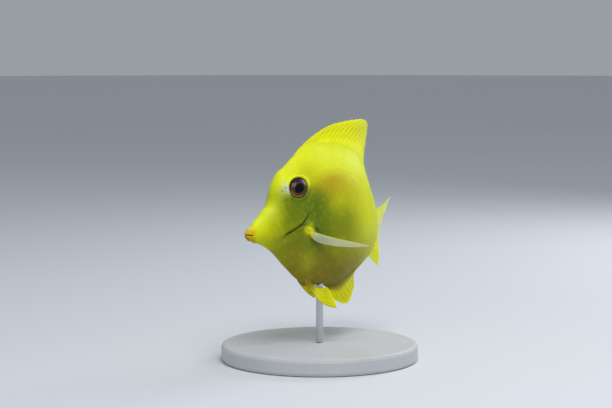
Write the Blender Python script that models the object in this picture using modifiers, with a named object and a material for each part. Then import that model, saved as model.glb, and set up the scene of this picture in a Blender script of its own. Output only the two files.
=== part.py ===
"""A yellow tang turning as it swims, as a still, life-size display model held on a small stand.

The fish is first drawn straight, in body lengths: x runs from the snout (0) to the end of the
tail stalk (1), z is up and its left side is -y. posed() then bends it, tips it and sets it on
its stand in metres. The stand stands at the origin, and the head points to -X.
"""

import bmesh
import bpy
import numpy as np

# Real size
LENGTH = 0.080
MM = 0.001 / LENGTH
GAP = 0.3 * MM

# Pose
BEND = 46.0
BEND_START = 0.54
BEND_POWER = 1.35
BEND_LIMIT = 1.15
SPINE_SPAN = (-0.3, 1.6)
SPINE_STEPS = 400
ROLL = -6.6
PITCH = -4.2
PIVOT = np.array([0.45, 0.0, 0.03])
PIVOT_HEIGHT = 0.050

# Outline of the body, seen from the side and from above
TOP_LINE = [
    (0.0, -0.030), (0.05, 0.012), (0.104, 0.061), (0.154, 0.117), (0.173, 0.170), (0.193, 0.216),
    (0.240, 0.255), (0.30, 0.303), (0.40, 0.345), (0.50, 0.343), (0.62, 0.325), (0.74, 0.278),
    (0.84, 0.170), (0.92, 0.092), (0.96, 0.073), (1.0, 0.070), (1.04, 0.076),
]
BELLY_LINE = [
    (0.0, -0.052), (0.03, -0.071), (0.08, -0.080), (0.15, -0.112), (0.24, -0.188), (0.33, -0.253),
    (0.42, -0.264), (0.52, -0.268), (0.64, -0.211), (0.76, -0.150), (0.86, -0.105), (0.93, -0.076),
    (1.0, -0.057), (1.04, -0.060),
]
HALF_WIDTH = [
    (0.0, 0.011), (0.05, 0.025), (0.12, 0.045), (0.20, 0.067), (0.30, 0.080), (0.40, 0.084),
    (0.52, 0.084), (0.66, 0.066), (0.80, 0.043), (0.90, 0.027), (1.0, 0.015), (1.04, 0.008),
]
# How sharp the back and the belly are at places along the body: 0.5 is an ellipse
BACK_SHARP = [(0.15, 0.50), (0.45, 0.78)]
KEEL_SHARP = [(0.10, 0.50), (0.50, 0.65)]
MIDDLE = 0.48
BODY_END = 1.02
NOSE_ROUND = 0.018
STATIONS = 50
STATION_POWER = 1.6
AROUND = 40
SLOPE_STEP = 0.004

# Lips: how far they swell, the groove behind them, and the line of the mouth
LIP_X = 0.013
LIP_SWELL = 0.10
GROOVE_X = 0.034
GROOVE_SINK = 0.11
LIP_REACH = 0.009
MOUTH_FRONT = (-0.012, -0.0395)
MOUTH_CORNER = (0.031, -0.0455)
MOUTH_OPEN = 0.5 * MM
MOUTH_CLOSE = 0.25 * MM

# Nostrils on each side, front one first, as (x, z, radius)
NOSTRILS = [(0.184, 0.146, 0.40 * MM), (0.2015, 0.160, 0.36 * MM)]
NOSTRIL_SIDES = (10, 6)

# Line between head and torso: nape, gill opening, throat, as (height, place along the body)
GILL_LINE = [
    (-0.40, 0.140), (-0.20, 0.144), (-0.13, 0.149), (-0.08, 0.162), (-0.045, 0.191), (-0.030, 0.222),
    (-0.012, 0.249), (0.01, 0.276), (0.04, 0.299), (0.09, 0.319), (0.125, 0.334), (0.16, 0.338),
    (0.31, 0.302), (0.45, 0.290),
]
STALK_CUT = 0.895
CUT_AHEAD = -0.2
CUT_BEHIND = 1.3
CUT_HEIGHTS = (-0.40, 0.45)
CUT_REACH = 0.3
CUT_STEPS = 36
FLAP_LIFT = 0.35 * MM
FLAP_REACH = 0.035
FLAP_SPAN = (-0.17, -0.10, 0.06, 0.15)
FLAP_FROM = 0.05

# Eyes
EYE_X = 0.272
EYE_Z = 0.162
EYE_RADIUS = 0.049
EYE_THICK = 0.028
EYE_DEPTH = 0.015
EYE_SIDES = (24, 12)
RIM_RADIUS = 0.0530
RIM_THICK = 0.0066
RIM_SINK = 0.0026
RIM_SIDES = (28, 8)

# Fins
RAY_THICK = 0.8 * MM
WEB_THICK = 0.55 * MM
TIP_THICK = 0.45 * MM
THINNING = 1.5
FLESHY_ROOT = 1.5 * MM
FLESHY_SPAN = 0.4
FIN_ROWS = 7
PAIRED_ROWS = 6
NOTCH = 0.012
SPINY_NOTCH = 0.06
SPINY_FADE = 3
ROOT_SINK = 0.035

DORSAL_BASE = (0.30, 0.94)
DORSAL_RAYS = 28
DORSAL_ANGLE = [(0.0, 45.5), (0.2, 41.5), (0.5, 34.5), (0.8, 25.0), (1.0, 14.0)]
DORSAL_LENGTH = [
    (0.0, 0.045), (0.08, 0.09), (0.17, 0.14), (0.35, 0.226), (0.55, 0.290), (0.64, 0.300),
    (0.71, 0.224), (0.80, 0.168), (0.90, 0.120), (1.0, 0.05),
]
DORSAL_LEAN = 0.11
DORSAL_LEAN_FROM = 0.46
LEAN_OVER = 0.33
LEAN_POWER = 2.6
LEAN_OUT = 1.3

ANAL_BASE = (0.475, 0.93)
ANAL_RAYS = 22
ANAL_ANGLE = [(0.0, -55.0), (0.3, -48.0), (0.6, -40.0), (0.8, -33.0), (1.0, -20.0)]
ANAL_LENGTH = [
    (0.0, 0.07), (0.12, 0.112), (0.30, 0.097), (0.55, 0.062), (0.75, 0.060), (0.90, 0.050), (1.0, 0.03),
]
ANAL_LEAN = 0.08
ANAL_LEAN_FROM = 0.15

TAIL_RAYS = 16
TAIL_SPREAD = 25.0
TAIL_TILT = -5.5
TAIL_LENGTH = 0.205
TAIL_FORK = 0.03
TAIL_TWIST = -14.0
TAIL_TWIST_OVER = 0.1
TAIL_TURN = -24.0
TAIL_CUP = 0.015
TAIL_CUP_POWER = 1.5
TAIL_BOW = 0.034

PELVIC_X = 0.325
PELVIC_CHORD = 0.04
PELVIC_APART = 0.022
PELVIC_RAYS = 6
PELVIC_LENGTH = {"left": 0.205, "right": 0.152}
PELVIC_ANGLE = {"left": -25.0, "right": -19.0}
PELVIC_SPREAD = 26.0
PELVIC_TAPER = 0.55
PELVIC_OUT = 17.0
PELVIC_ROOT = 0.006
PELVIC_SINK = 0.016
PELVIC_BOW = {"left": 0.034, "right": 0.010}
PELVIC_BOW_FADE = 0.6

PECTORAL_X = (0.290, 0.326)
PECTORAL_Z = (-0.013, -0.056)
PECTORAL_RAYS = 14
PECTORAL_LENGTH = 0.295
PECTORAL_TAPER = 0.55
PECTORAL_TAPER_POWER = 1.3
PECTORAL_OUT = 33.0
PECTORAL_UP = -17.0
PECTORAL_DOWN = 1.0
PECTORAL_FAN = 22.0
PECTORAL_SINK = 0.03
PECTORAL_BOW = 0.012
PECTORAL_BOW_SKEW = 0.55

# White blade on each side of the tail stalk
SPINE_X = (0.925, 0.972)
SPINE_Z = 0.010
SPINE_DEEP = 0.9 * MM
SPINE_TALL = 0.55 * MM
SPINE_SIDES = (10, 8)

# Stand
BASE_RADIUS = 0.035
BASE_THICK = 0.006
BASE_BEVEL = 0.0012
BASE_SIDES = 56
ROD_RADIUS = 0.0013
ROD_X = 0.44
ROD_INTO_BODY = 0.06
ROD_SIDES = 24

# Colours
YELLOW = (0.78, 0.72, 0.02)
FIN_YELLOW = (0.80, 0.78, 0.03)
CLEAR_FIN = (0.74, 0.74, 0.45)
WHITE = (0.85, 0.85, 0.80)
EYE_BROWN = (0.10, 0.055, 0.02)
STAND_GREY = (0.55, 0.56, 0.57)
STEEL = (0.60, 0.60, 0.62)


def curve(points):
    """A smooth function through the points, with each slope taken from the neighbours."""
    xs = np.array([p[0] for p in points])
    ys = np.array([p[1] for p in points])
    slopes = np.gradient(ys, xs)

    def at(x):
        x = np.clip(np.asarray(x, float), xs[0], xs[-1])
        k = np.clip(np.searchsorted(xs, x) - 1, 0, len(xs) - 2)
        h = xs[k + 1] - xs[k]
        t = (x - xs[k]) / h
        ends = (2 * t**3 - 3 * t**2 + 1) * ys[k] + (3 * t**2 - 2 * t**3) * ys[k + 1]
        return ends + h * ((t**3 - 2 * t**2 + t) * slopes[k] + (t**3 - t**2) * slopes[k + 1])

    return at


top = curve(TOP_LINE)
belly = curve(BELLY_LINE)
half_width = curve(HALF_WIDTH)
gill = curve(GILL_LINE)
dorsal_angle = curve(DORSAL_ANGLE)
dorsal_length = curve(DORSAL_LENGTH)
anal_angle = curve(ANAL_ANGLE)
anal_length = curve(ANAL_LENGTH)


def turned(axis, degrees):
    """A rotation matrix about one of the axes."""
    c = np.cos(np.radians(degrees))
    s = np.sin(np.radians(degrees))
    if axis == "x":
        return np.array([[1, 0, 0], [0, c, -s], [0, s, c]])
    return np.array([[c, 0, s], [0, 1, 0], [-s, 0, c]])


def spine_curve():
    """Places and headings along the bent middle line, which turns towards +y near the tail."""
    s = np.linspace(*SPINE_SPAN, SPINE_STEPS)
    along = np.clip((s - BEND_START) / (1 - BEND_START), 0, BEND_LIMIT)
    heading = np.radians(BEND) * along**BEND_POWER
    middle = (heading[1:] + heading[:-1]) / 2
    step = s[1] - s[0]
    x = np.concatenate([[0], np.cumsum(np.cos(middle)) * step]) + s[0]
    y = np.concatenate([[0], np.cumsum(np.sin(middle)) * step])
    return s, x, y, heading


SPINE = spine_curve()
TILT = turned("y", -PITCH) @ turned("x", ROLL)


def bent(points):
    """Points of the straight fish, moved to the turning pose, in body lengths."""
    s, x, y, heading = SPINE
    a = np.interp(points[:, 0], s, heading)
    bend_x = np.interp(points[:, 0], s, x) - np.sin(a) * points[:, 1]
    bend_y = np.interp(points[:, 0], s, y) + np.cos(a) * points[:, 1]
    return (np.stack([bend_x, bend_y, points[:, 2]], 1) - PIVOT) @ TILT.T


def posed(points):
    """Points of the straight fish in metres, with the stand's rod over the origin."""
    rod = bent(np.array([[ROD_X, 0.0, belly(ROD_X)]]))[0]
    shift = np.array([-rod[0], -rod[1], PIVOT_HEIGHT / LENGTH])
    return (bent(np.asarray(points, float)) + shift) * LENGTH


def bump(distance, reach):
    """A smooth swelling, 1 at no distance and fading over the reach."""
    return np.exp(-((distance / reach) ** 2))


def section(x):
    """The body's upper and lower half heights, half width and middle height at x."""
    upper = top(x)
    lower = belly(x)
    centre = lower + MIDDLE * (upper - lower)
    ahead = np.clip(1 - x / NOSE_ROUND, 0, 1)
    nose = np.sqrt(1 - ahead**2)
    nose *= 1 + LIP_SWELL * bump(x - LIP_X, LIP_REACH) - GROOVE_SINK * bump(x - GROOVE_X, LIP_REACH)
    return (upper - centre) * nose, (centre - lower) * nose, half_width(x) * nose, centre


def blade_powers(x):
    """How sharp the back and the belly are: 0.5 is an ellipse, and more is sharper."""
    return np.interp(x, *zip(*BACK_SHARP)), np.interp(x, *zip(*KEEL_SHARP))


def side_y(x, z):
    """Half width of the body at a place on its side."""
    high, low, wide, centre = section(x)
    back, keel = blade_powers(x)
    up = z >= centre
    part = np.clip((z - centre) / (high if up else low), -1, 1)
    return wide * (1 - part**2) ** (back if up else keel)


def side_normal(x, z, side):
    """The way the body's side faces at a place on it."""
    d = SLOPE_STEP
    slope_x = (side_y(x + d, z) - side_y(x - d, z)) / (2 * d)
    slope_z = (side_y(x, z + d) - side_y(x, z - d)) / (2 * d)
    n = np.array([-slope_x, side, -slope_z])
    return n / np.linalg.norm(n)


def gill_flap(points):
    """How far the rear edge of the gill cover stands out, at each point of the head."""
    x, z = points[:, 0], points[:, 2]
    ahead = np.maximum(gill(z) - x, 0)
    tall = np.interp(z, FLAP_SPAN, (0, 1, 1, 0))
    return FLAP_LIFT * bump(ahead, FLAP_REACH) * tall * (x > FLAP_FROM)


def body_mesh(grow=0.0, flap=False):
    """Points and faces of the whole body, as rings from the snout to the tail stalk."""
    xs = BODY_END * (np.arange(1, STATIONS + 1) / STATIONS) ** STATION_POWER
    angles = np.linspace(0, 2 * np.pi, AROUND, endpoint=False)
    c = np.cos(angles)
    s = np.sin(angles)
    points = [(0.0, 0.0, float(section(0.0)[3]))]
    for x in xs:
        high, low, wide, centre = section(x)
        back, keel = blade_powers(x)
        power = 2 * np.where(s >= 0, back, keel)
        y = np.sign(c) * wide * np.abs(c) ** power
        z = centre + np.where(s >= 0, high, low) * s
        points += list(zip(np.full(AROUND, x), y, z))
    points = np.array(points)
    faces = [(0, 1 + (k + 1) % AROUND, 1 + k) for k in range(AROUND)]
    for i in range(STATIONS - 1):
        a = 1 + i * AROUND
        b = a + AROUND
        for k in range(AROUND):
            n = (k + 1) % AROUND
            faces.append((a + k, a + n, b + n, b + k))
    faces.append(tuple(1 + (STATIONS - 1) * AROUND + k for k in range(AROUND)))
    lift = grow + (gill_flap(points) if flap else 0.0)
    return points + np.reshape(lift, (-1, 1)) * vertex_normals(points, faces), faces


def vertex_normals(points, faces):
    """Outward unit normals, from the faces round each point."""
    total = np.zeros_like(points)
    for face in faces:
        p = points[list(face)]
        n = np.zeros(3)
        for k in range(1, len(p) - 1):
            n += np.cross(p[k] - p[0], p[k + 1] - p[0])
        total[list(face)] += n
    return total / np.maximum(np.linalg.norm(total, axis=1), 1e-12)[:, None]


def sheet_mesh(middle, half):
    """A closed fin: middle is a grid of points (rays, rows, 3), half the half thickness there."""
    along = np.gradient(middle, axis=0)
    out = np.gradient(middle, axis=1)
    normal = np.cross(along, out)
    normal /= np.linalg.norm(normal, axis=2)[..., None]
    rays, rows = half.shape
    one = (middle + normal * half[..., None]).reshape(-1, 3)
    two = (middle - normal * half[..., None]).reshape(-1, 3)
    n = rays * rows
    faces = []
    for i in range(rays - 1):
        for j in range(rows - 1):
            a = i * rows + j
            b = a + rows
            faces += [(a, b, b + 1), (a, b + 1, a + 1)]
            faces += [(n + a, n + b + 1, n + b), (n + a, n + a + 1, n + b + 1)]
    rim = [i * rows for i in range(rays)] + [(rays - 1) * rows + j for j in range(1, rows)]
    rim += [i * rows + rows - 1 for i in range(rays - 2, -1, -1)] + list(range(rows - 2, 0, -1))
    for k, a in enumerate(rim):
        b = rim[(k + 1) % len(rim)]
        faces.append((a, n + a, n + b, b))
    return np.concatenate([one, two]), faces


def is_web(columns):
    """1 for the columns of a fin that lie between rays and 0 for those on a ray."""
    return np.arange(columns) % 2


def fin_thickness(columns, rows, fleshy=0.0):
    """Half thickness over a fin: ridges on the rays, fleshy at the root if asked, thin at the rim."""
    down = np.linspace(0, 1, rows)[None, :]
    web = is_web(columns)[:, None]
    thick = RAY_THICK + (WEB_THICK - RAY_THICK) * web
    thick = thick + (TIP_THICK - thick) * down**THINNING
    return (thick + fleshy * np.clip(1 - down / FLESHY_SPAN, 0, 1)) / 2


def notched(lengths, spiny=0.0):
    """Ray lengths with the web between them a little short, more so among spines at the front."""
    columns = len(lengths)
    t = np.linspace(0, 1, columns)
    return lengths * (1 - is_web(columns) * (NOTCH + spiny * (1 - t) ** SPINY_FADE))


def ray_grid(roots, ways, lengths, rows, sink):
    """Points along straight rays: the first row lies under the skin, moved there by the sink."""
    out = np.linspace(0, 1, rows - 1)[None, :] * lengths[:, None]
    grid = roots[:, None, :] + ways[:, None, :] * out[..., None]
    return np.concatenate([(roots + sink)[:, None, :], grid], 1)


def link(obj, collection):
    for old in list(obj.users_collection):
        old.objects.unlink(obj)
    collection.objects.link(obj)
    return obj


def solid(name, points, faces, collection):
    """An object from points of the straight fish, with its origin at its middle."""
    world = posed(points)
    origin = (world.min(0) + world.max(0)) / 2
    mesh = bpy.data.meshes.new(name)
    mesh.from_pydata([tuple(p) for p in world - origin], [], faces)
    bm = bmesh.new()
    bm.from_mesh(mesh)
    bmesh.ops.recalc_face_normals(bm, faces=bm.faces[:])
    if bm.calc_volume(signed=True) < 0:
        bmesh.ops.reverse_faces(bm, faces=bm.faces[:])
    bm.to_mesh(mesh)
    bm.free()
    obj = bpy.data.objects.new(name, mesh)
    obj.location = origin
    collection.objects.link(obj)
    return obj


def keep_largest(mesh):
    """Leaves only the closed surface that holds the most."""
    bm = bmesh.new()
    bm.from_mesh(mesh)
    left = set(bm.verts)
    groups = []
    while left:
        todo = [left.pop()]
        group = set(todo)
        while todo:
            for edge in todo.pop().link_edges:
                for vert in edge.verts:
                    if vert in left:
                        left.discard(vert)
                        group.add(vert)
                        todo.append(vert)
        groups.append(group)
    spans = [np.prod(np.ptp([v.co[:] for v in g], axis=0)) for g in groups]
    keep = groups[int(np.argmax(spans))]
    bmesh.ops.delete(bm, geom=[v for v in bm.verts if v not in keep], context="VERTS")
    bm.to_mesh(mesh)
    bm.free()


def boolean(obj, cutter, operation):
    """Applies one EXACT Boolean to the object and tidies the result."""
    modifier = obj.modifiers.new(operation.lower(), "BOOLEAN")
    modifier.operation = operation
    modifier.solver = "EXACT"
    modifier.object = cutter
    bpy.context.view_layer.update()
    graph = bpy.context.evaluated_depsgraph_get()
    mesh = bpy.data.meshes.new_from_object(obj.evaluated_get(graph))
    obj.modifiers.clear()
    old = obj.data
    name = old.name
    obj.data = mesh
    bpy.data.meshes.remove(old)
    mesh.name = name
    keep_largest(mesh)


def material(name, colour, roughness, metallic=0.0):
    mat = bpy.data.materials.new(name)
    mat.use_nodes = True
    shader = mat.node_tree.nodes["Principled BSDF"]
    shader.inputs["Base Color"].default_value = (*colour, 1.0)
    shader.inputs["Roughness"].default_value = roughness
    shader.inputs["Metallic"].default_value = metallic
    return mat


def finish(obj, mat, smooth=True):
    obj.data.materials.clear()
    obj.data.materials.append(mat)
    for polygon in obj.data.polygons:
        polygon.use_smooth = smooth
    obj.data.update()
    return obj


def slab_mesh(front, back):
    """A block between two lines drawn on the fish's side, right through it."""
    points = []
    for line, reverse in ((front, False), (back, True)):
        points += line[::-1] if reverse else line
    n = len(points)
    left = [(x, -CUT_REACH, z) for x, z in points]
    right = [(x, CUT_REACH, z) for x, z in points]
    faces = [tuple(range(n)), tuple(range(2 * n - 1, n - 1, -1))]
    faces += [(k, n + k, n + (k + 1) % n, (k + 1) % n) for k in range(n)]
    return left + right, faces


def gill_points(offset=0.0):
    """Points down the line between head and torso, moved back by the offset."""
    heights = np.linspace(*CUT_HEIGHTS, CUT_STEPS)
    d = SLOPE_STEP
    slope = (gill(heights + d) - gill(heights - d)) / (2 * d)
    size = np.sqrt(1 + slope**2)
    return list(zip(gill(heights) + offset / size, heights - offset * slope / size))


def upright(x):
    """A line up the side of the fish at x, higher and lower than the body."""
    return [(x, z) for z in CUT_HEIGHTS]


def make_body(parts, cutters):
    """Head, torso and tail stalk: one body parted by thin cuts."""
    points, faces = body_mesh()
    head = solid("head", *body_mesh(flap=True), parts)
    torso = solid("torso", points, faces, parts)
    stalk = solid("tail_base", points, faces, parts)
    begin = upright(CUT_AHEAD)
    end = upright(CUT_BEHIND)
    front = solid("front_block", *slab_mesh(begin, gill_points()), cutters)
    wider = solid("front_block_wide", *slab_mesh(begin, gill_points(GAP)), cutters)
    rear = solid("rear_block", *slab_mesh(upright(STALK_CUT), end), cutters)
    fore = solid("fore_block", *slab_mesh(begin, upright(STALK_CUT + GAP)), cutters)
    boolean(head, front, "INTERSECT")
    boolean(torso, wider, "DIFFERENCE")
    boolean(torso, rear, "DIFFERENCE")
    boolean(stalk, fore, "DIFFERENCE")
    return head, torso, stalk


def ball_mesh(around, rings):
    """Points and faces of a ball of radius 1."""
    bm = bmesh.new()
    bmesh.ops.create_uvsphere(bm, u_segments=around, v_segments=rings, radius=1.0)
    points = np.array([p.co[:] for p in bm.verts])
    faces = [tuple(p.index for p in f.verts) for f in bm.faces]
    bm.free()
    return points, faces


def eye_axes(side):
    """The eye's place on the skin, and its outward, lengthwise and upright directions."""
    n = side_normal(EYE_X, EYE_Z, side)
    u = np.cross(n, (0, 0, 1))
    u /= np.linalg.norm(u)
    return np.array([EYE_X, side * side_y(EYE_X, EYE_Z), EYE_Z]), n, u, np.cross(n, u)


def eye_mesh(side, grow=0.0):
    """A flattened ball set in the side of the head."""
    place, n, u, v = eye_axes(side)
    centre = place - n * EYE_DEPTH
    ball, faces = ball_mesh(*EYE_SIDES)
    wide = EYE_RADIUS + grow
    thick = EYE_THICK + grow
    points = centre + wide * (ball[:, :1] * u + ball[:, 1:2] * v) + thick * ball[:, 2:] * n
    return points, faces


def rim_mesh(side):
    """The raised ring of skin round an eye, lying on the side of the head."""
    place, n, u, v = eye_axes(side)
    segments, turns = RIM_SIDES
    around = np.linspace(0, 2 * np.pi, segments, endpoint=False)
    across = np.linspace(0, 2 * np.pi, turns, endpoint=False)
    points = []
    for a in around:
        outward = np.cos(a) * u + np.sin(a) * v
        p = place + RIM_RADIUS * outward
        middle = np.array([p[0], side * side_y(p[0], p[2]), p[2]]) - n * RIM_SINK
        points += [middle + RIM_THICK * (np.cos(b) * outward + np.sin(b) * n) for b in across]
    faces = []
    for i in range(segments):
        a = i * turns
        b = (i + 1) % segments * turns
        faces += [(a + k, b + k, b + (k + 1) % turns, a + (k + 1) % turns) for k in range(turns)]
    return np.array(points), faces


def make_mouth(head, cutters):
    """Parts the lips with a wedge that narrows to the corners of the mouth."""
    front, corner = MOUTH_FRONT, MOUTH_CORNER
    upper = [(front[0], front[1] + MOUTH_OPEN / 2), (corner[0], corner[1] + MOUTH_CLOSE / 2)]
    lower = [(front[0], front[1] - MOUTH_OPEN / 2), (corner[0], corner[1] - MOUTH_CLOSE / 2)]
    boolean(head, solid("mouth_wedge", *slab_mesh(upper, lower), cutters), "DIFFERENCE")


def make_nostrils(head, cutters):
    ball, faces = ball_mesh(*NOSTRIL_SIDES)
    for side in (-1, 1):
        for x, z, radius in NOSTRILS:
            place = np.array([x, side * side_y(x, z), z])
            boolean(head, solid("nostril", place + radius * ball, faces, cutters), "DIFFERENCE")


def make_eyes(head, parts, cutters, mat):
    for side, word in ((-1, "left"), (1, "right")):
        boolean(head, solid("rim_" + word, *rim_mesh(side), cutters), "UNION")
        socket = solid("socket_" + word, *eye_mesh(side, GAP), cutters)
        boolean(head, socket, "DIFFERENCE")
        finish(solid("eye_" + word, *eye_mesh(side), parts), mat)


def blade_mesh(side, grow=0.0):
    """The sharp white blade, folded flat against the tail stalk."""
    count, turns = SPINE_SIDES
    xs = np.linspace(SPINE_X[0] - grow, SPINE_X[1] + grow, count)
    t = np.linspace(-1, 1, count)
    swell = np.sqrt(np.maximum(1 - t**2, 0.0))
    a = np.linspace(0, 2 * np.pi, turns, endpoint=False)
    points = [(xs[0], side * side_y(xs[0], SPINE_Z), SPINE_Z)]
    for x, w in zip(xs[1:-1], swell[1:-1]):
        y = side_y(x, SPINE_Z) + (SPINE_TALL + grow) * w * np.cos(a)
        z = SPINE_Z + (SPINE_DEEP + grow) * w * np.sin(a)
        points += [(x, side * yy, zz) for yy, zz in zip(y, z)]
    points.append((xs[-1], side * side_y(xs[-1], SPINE_Z), SPINE_Z))
    faces = [(0, 1 + k, 1 + (k + 1) % turns) for k in range(turns)]
    for i in range(count - 3):
        a = 1 + i * turns
        b = a + turns
        faces += [(a + k, b + k, b + (k + 1) % turns, a + (k + 1) % turns) for k in range(turns)]
    b = 1 + (count - 3) * turns
    faces += [(b + k, len(points) - 1, b + (k + 1) % turns) for k in range(turns)]
    return np.array(points), faces


def make_blades(stalk, parts, cutters, mat):
    for side, word in ((-1, "left"), (1, "right")):
        groove = solid("groove_" + word, *blade_mesh(side, GAP), cutters)
        boolean(stalk, groove, "DIFFERENCE")
        finish(solid("caudal_spine_" + word, *blade_mesh(side), parts), mat)


def median_fin(base, rays, line, angle, length, lean, lean_from):
    """Grid of the dorsal or anal fin, whose rear part leans to the fish's right."""
    t = np.linspace(0, 1, 2 * rays - 1)
    x = base[0] + (base[1] - base[0]) * t
    a = np.radians(angle(t))
    roots = np.stack([x, 0 * x, line(x)], 1)
    ways = np.stack([np.cos(a), 0 * a, np.sin(a)], 1)
    grid = ray_grid(roots, ways, notched(length(t), SPINY_NOTCH), FIN_ROWS, -ways * ROOT_SINK)
    out = np.concatenate([[0.0], np.linspace(0, 1, FIN_ROWS - 1)])
    share = np.clip((t - lean_from) / LEAN_OVER, 0, 1) ** LEAN_POWER
    grid[..., 1] += lean * share[:, None] * out**LEAN_OUT
    return grid


def make_median_fins(parts, skin, mat):
    back = (DORSAL_BASE, DORSAL_RAYS, top, dorsal_angle, dorsal_length, DORSAL_LEAN, DORSAL_LEAN_FROM)
    under = (ANAL_BASE, ANAL_RAYS, belly, anal_angle, anal_length, ANAL_LEAN, ANAL_LEAN_FROM)
    for name, sizes in (("dorsal_fin", back), ("anal_fin", under)):
        grid = median_fin(*sizes)
        fin = solid(name, *sheet_mesh(grid, fin_thickness(*grid.shape[:2])), parts)
        boolean(fin, skin, "DIFFERENCE")
        finish(fin, mat)


def make_tail_fin(parts, mat):
    """The tail fin, whose root face meets the end of the tail stalk."""
    columns = 2 * TAIL_RAYS - 1
    t = np.linspace(-1, 1, columns)
    start = BODY_END + GAP
    middle = (top(BODY_END) + belly(BODY_END)) / 2
    tall = (top(BODY_END) - belly(BODY_END)) / 2 - GAP
    a = np.radians(t * TAIL_SPREAD + TAIL_TILT)
    reach = notched(TAIL_LENGTH + TAIL_FORK * t**2) / np.cos(a)
    roots = np.stack([np.full(columns, start), 0 * t, middle + t * tall], 1)
    ways = np.stack([np.cos(a), 0 * a, np.sin(a)], 1)
    out = np.linspace(0, 1, FIN_ROWS)
    grid = roots[:, None, :] + ways[:, None, :] * (reach[:, None] * out)[..., None]
    far = grid[..., 0] - start
    twist = np.tan(np.radians(TAIL_TWIST)) * np.clip(far / TAIL_TWIST_OVER, 0, 1)
    grid[..., 1] += (grid[..., 2] - middle) * twist
    grid[..., 1] += far * np.tan(np.radians(TAIL_TURN))
    grid[..., 1] += TAIL_CUP * (1 - t**2)[:, None] * out**TAIL_CUP_POWER
    grid[..., 1] += TAIL_BOW * np.clip(-t, 0, 1)[:, None] * np.sin(np.pi * out)
    fin = solid("caudal_fin", *sheet_mesh(grid, fin_thickness(columns, FIN_ROWS)), parts)
    finish(fin, mat)


def make_pelvic_fins(parts, skin, mat):
    columns = 2 * PELVIC_RAYS - 1
    t = np.linspace(0, 1, columns)
    x = PELVIC_X + PELVIC_CHORD * t
    out = np.linspace(0, 1, PAIRED_ROWS - 1)
    for side, word in ((-1, "left"), (1, "right")):
        a = np.radians(PELVIC_ANGLE[word] + PELVIC_SPREAD * (t - 0.5))
        roots = np.stack([x, np.full(columns, side * PELVIC_APART), belly(x) + PELVIC_ROOT], 1)
        outward = side * np.abs(np.sin(a)) * np.tan(np.radians(PELVIC_OUT))
        ways = np.stack([np.cos(a), outward, np.sin(a)], 1)
        ways /= np.linalg.norm(ways, axis=1)[:, None]
        lengths = notched(PELVIC_LENGTH[word] * (1 - PELVIC_TAPER * t))
        grid = ray_grid(roots, ways, lengths, PAIRED_ROWS, np.array([0, 0, PELVIC_SINK]))
        grid[:, 1:, 2] -= PELVIC_BOW[word] * (1 - PELVIC_BOW_FADE * t)[:, None] * np.sin(np.pi * out)
        half = fin_thickness(columns, PAIRED_ROWS)
        fin = solid("pelvic_fin_" + word, *sheet_mesh(grid, half), parts)
        boolean(fin, skin, "DIFFERENCE")
        finish(fin, mat)


def make_pectoral_fins(parts, skin, mat):
    columns = 2 * PECTORAL_RAYS - 1
    t = np.linspace(0, 1, columns)
    x = PECTORAL_X[0] + (PECTORAL_X[1] - PECTORAL_X[0]) * t
    z = PECTORAL_Z[0] + (PECTORAL_Z[1] - PECTORAL_Z[0]) * t
    a = np.radians(PECTORAL_UP - PECTORAL_DOWN * t)
    aside = np.radians(PECTORAL_OUT - PECTORAL_FAN * t)
    out = np.linspace(0, 1, PAIRED_ROWS - 1)
    for side, word in ((-1, "left"), (1, "right")):
        y = np.array([side * side_y(p, q) for p, q in zip(x, z)])
        roots = np.stack([x, y, z], 1)
        ways = np.stack([np.cos(aside) * np.cos(a), side * np.sin(aside) * np.cos(a), np.sin(a)], 1)
        lengths = notched(PECTORAL_LENGTH * (1 - PECTORAL_TAPER * t**PECTORAL_TAPER_POWER))
        grid = ray_grid(roots, ways, lengths, PAIRED_ROWS, -ways * PECTORAL_SINK)
        grid[:, 1:, 2] -= PECTORAL_BOW * np.sin(np.pi * out**PECTORAL_BOW_SKEW)
        half = fin_thickness(columns, PAIRED_ROWS, FLESHY_ROOT)
        fin = solid("pectoral_fin_" + word, *sheet_mesh(grid, half), parts)
        boolean(fin, skin, "DIFFERENCE")
        finish(fin, mat)


def make_stand(parts, skin, grey, steel):
    bpy.ops.mesh.primitive_cylinder_add(vertices=BASE_SIDES, radius=BASE_RADIUS, depth=BASE_THICK)
    base = link(bpy.context.object, parts)
    base.name = "stand_base"
    base.location = (0, 0, BASE_THICK / 2)
    bevel = base.modifiers.new("edge", "BEVEL")
    bevel.width = BASE_BEVEL
    bevel.segments = 2
    bevel.limit_method = "ANGLE"
    finish(base, grey)
    low = BASE_THICK + GAP * LENGTH
    high = float(posed([[ROD_X, 0.0, belly(ROD_X) + ROD_INTO_BODY]])[0, 2])
    bpy.ops.mesh.primitive_cylinder_add(vertices=ROD_SIDES, radius=ROD_RADIUS, depth=high - low)
    rod = link(bpy.context.object, parts)
    rod.name = "stand_rod"
    rod.location = (0, 0, (high + low) / 2)
    boolean(rod, skin, "DIFFERENCE")
    finish(rod, steel)


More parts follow.
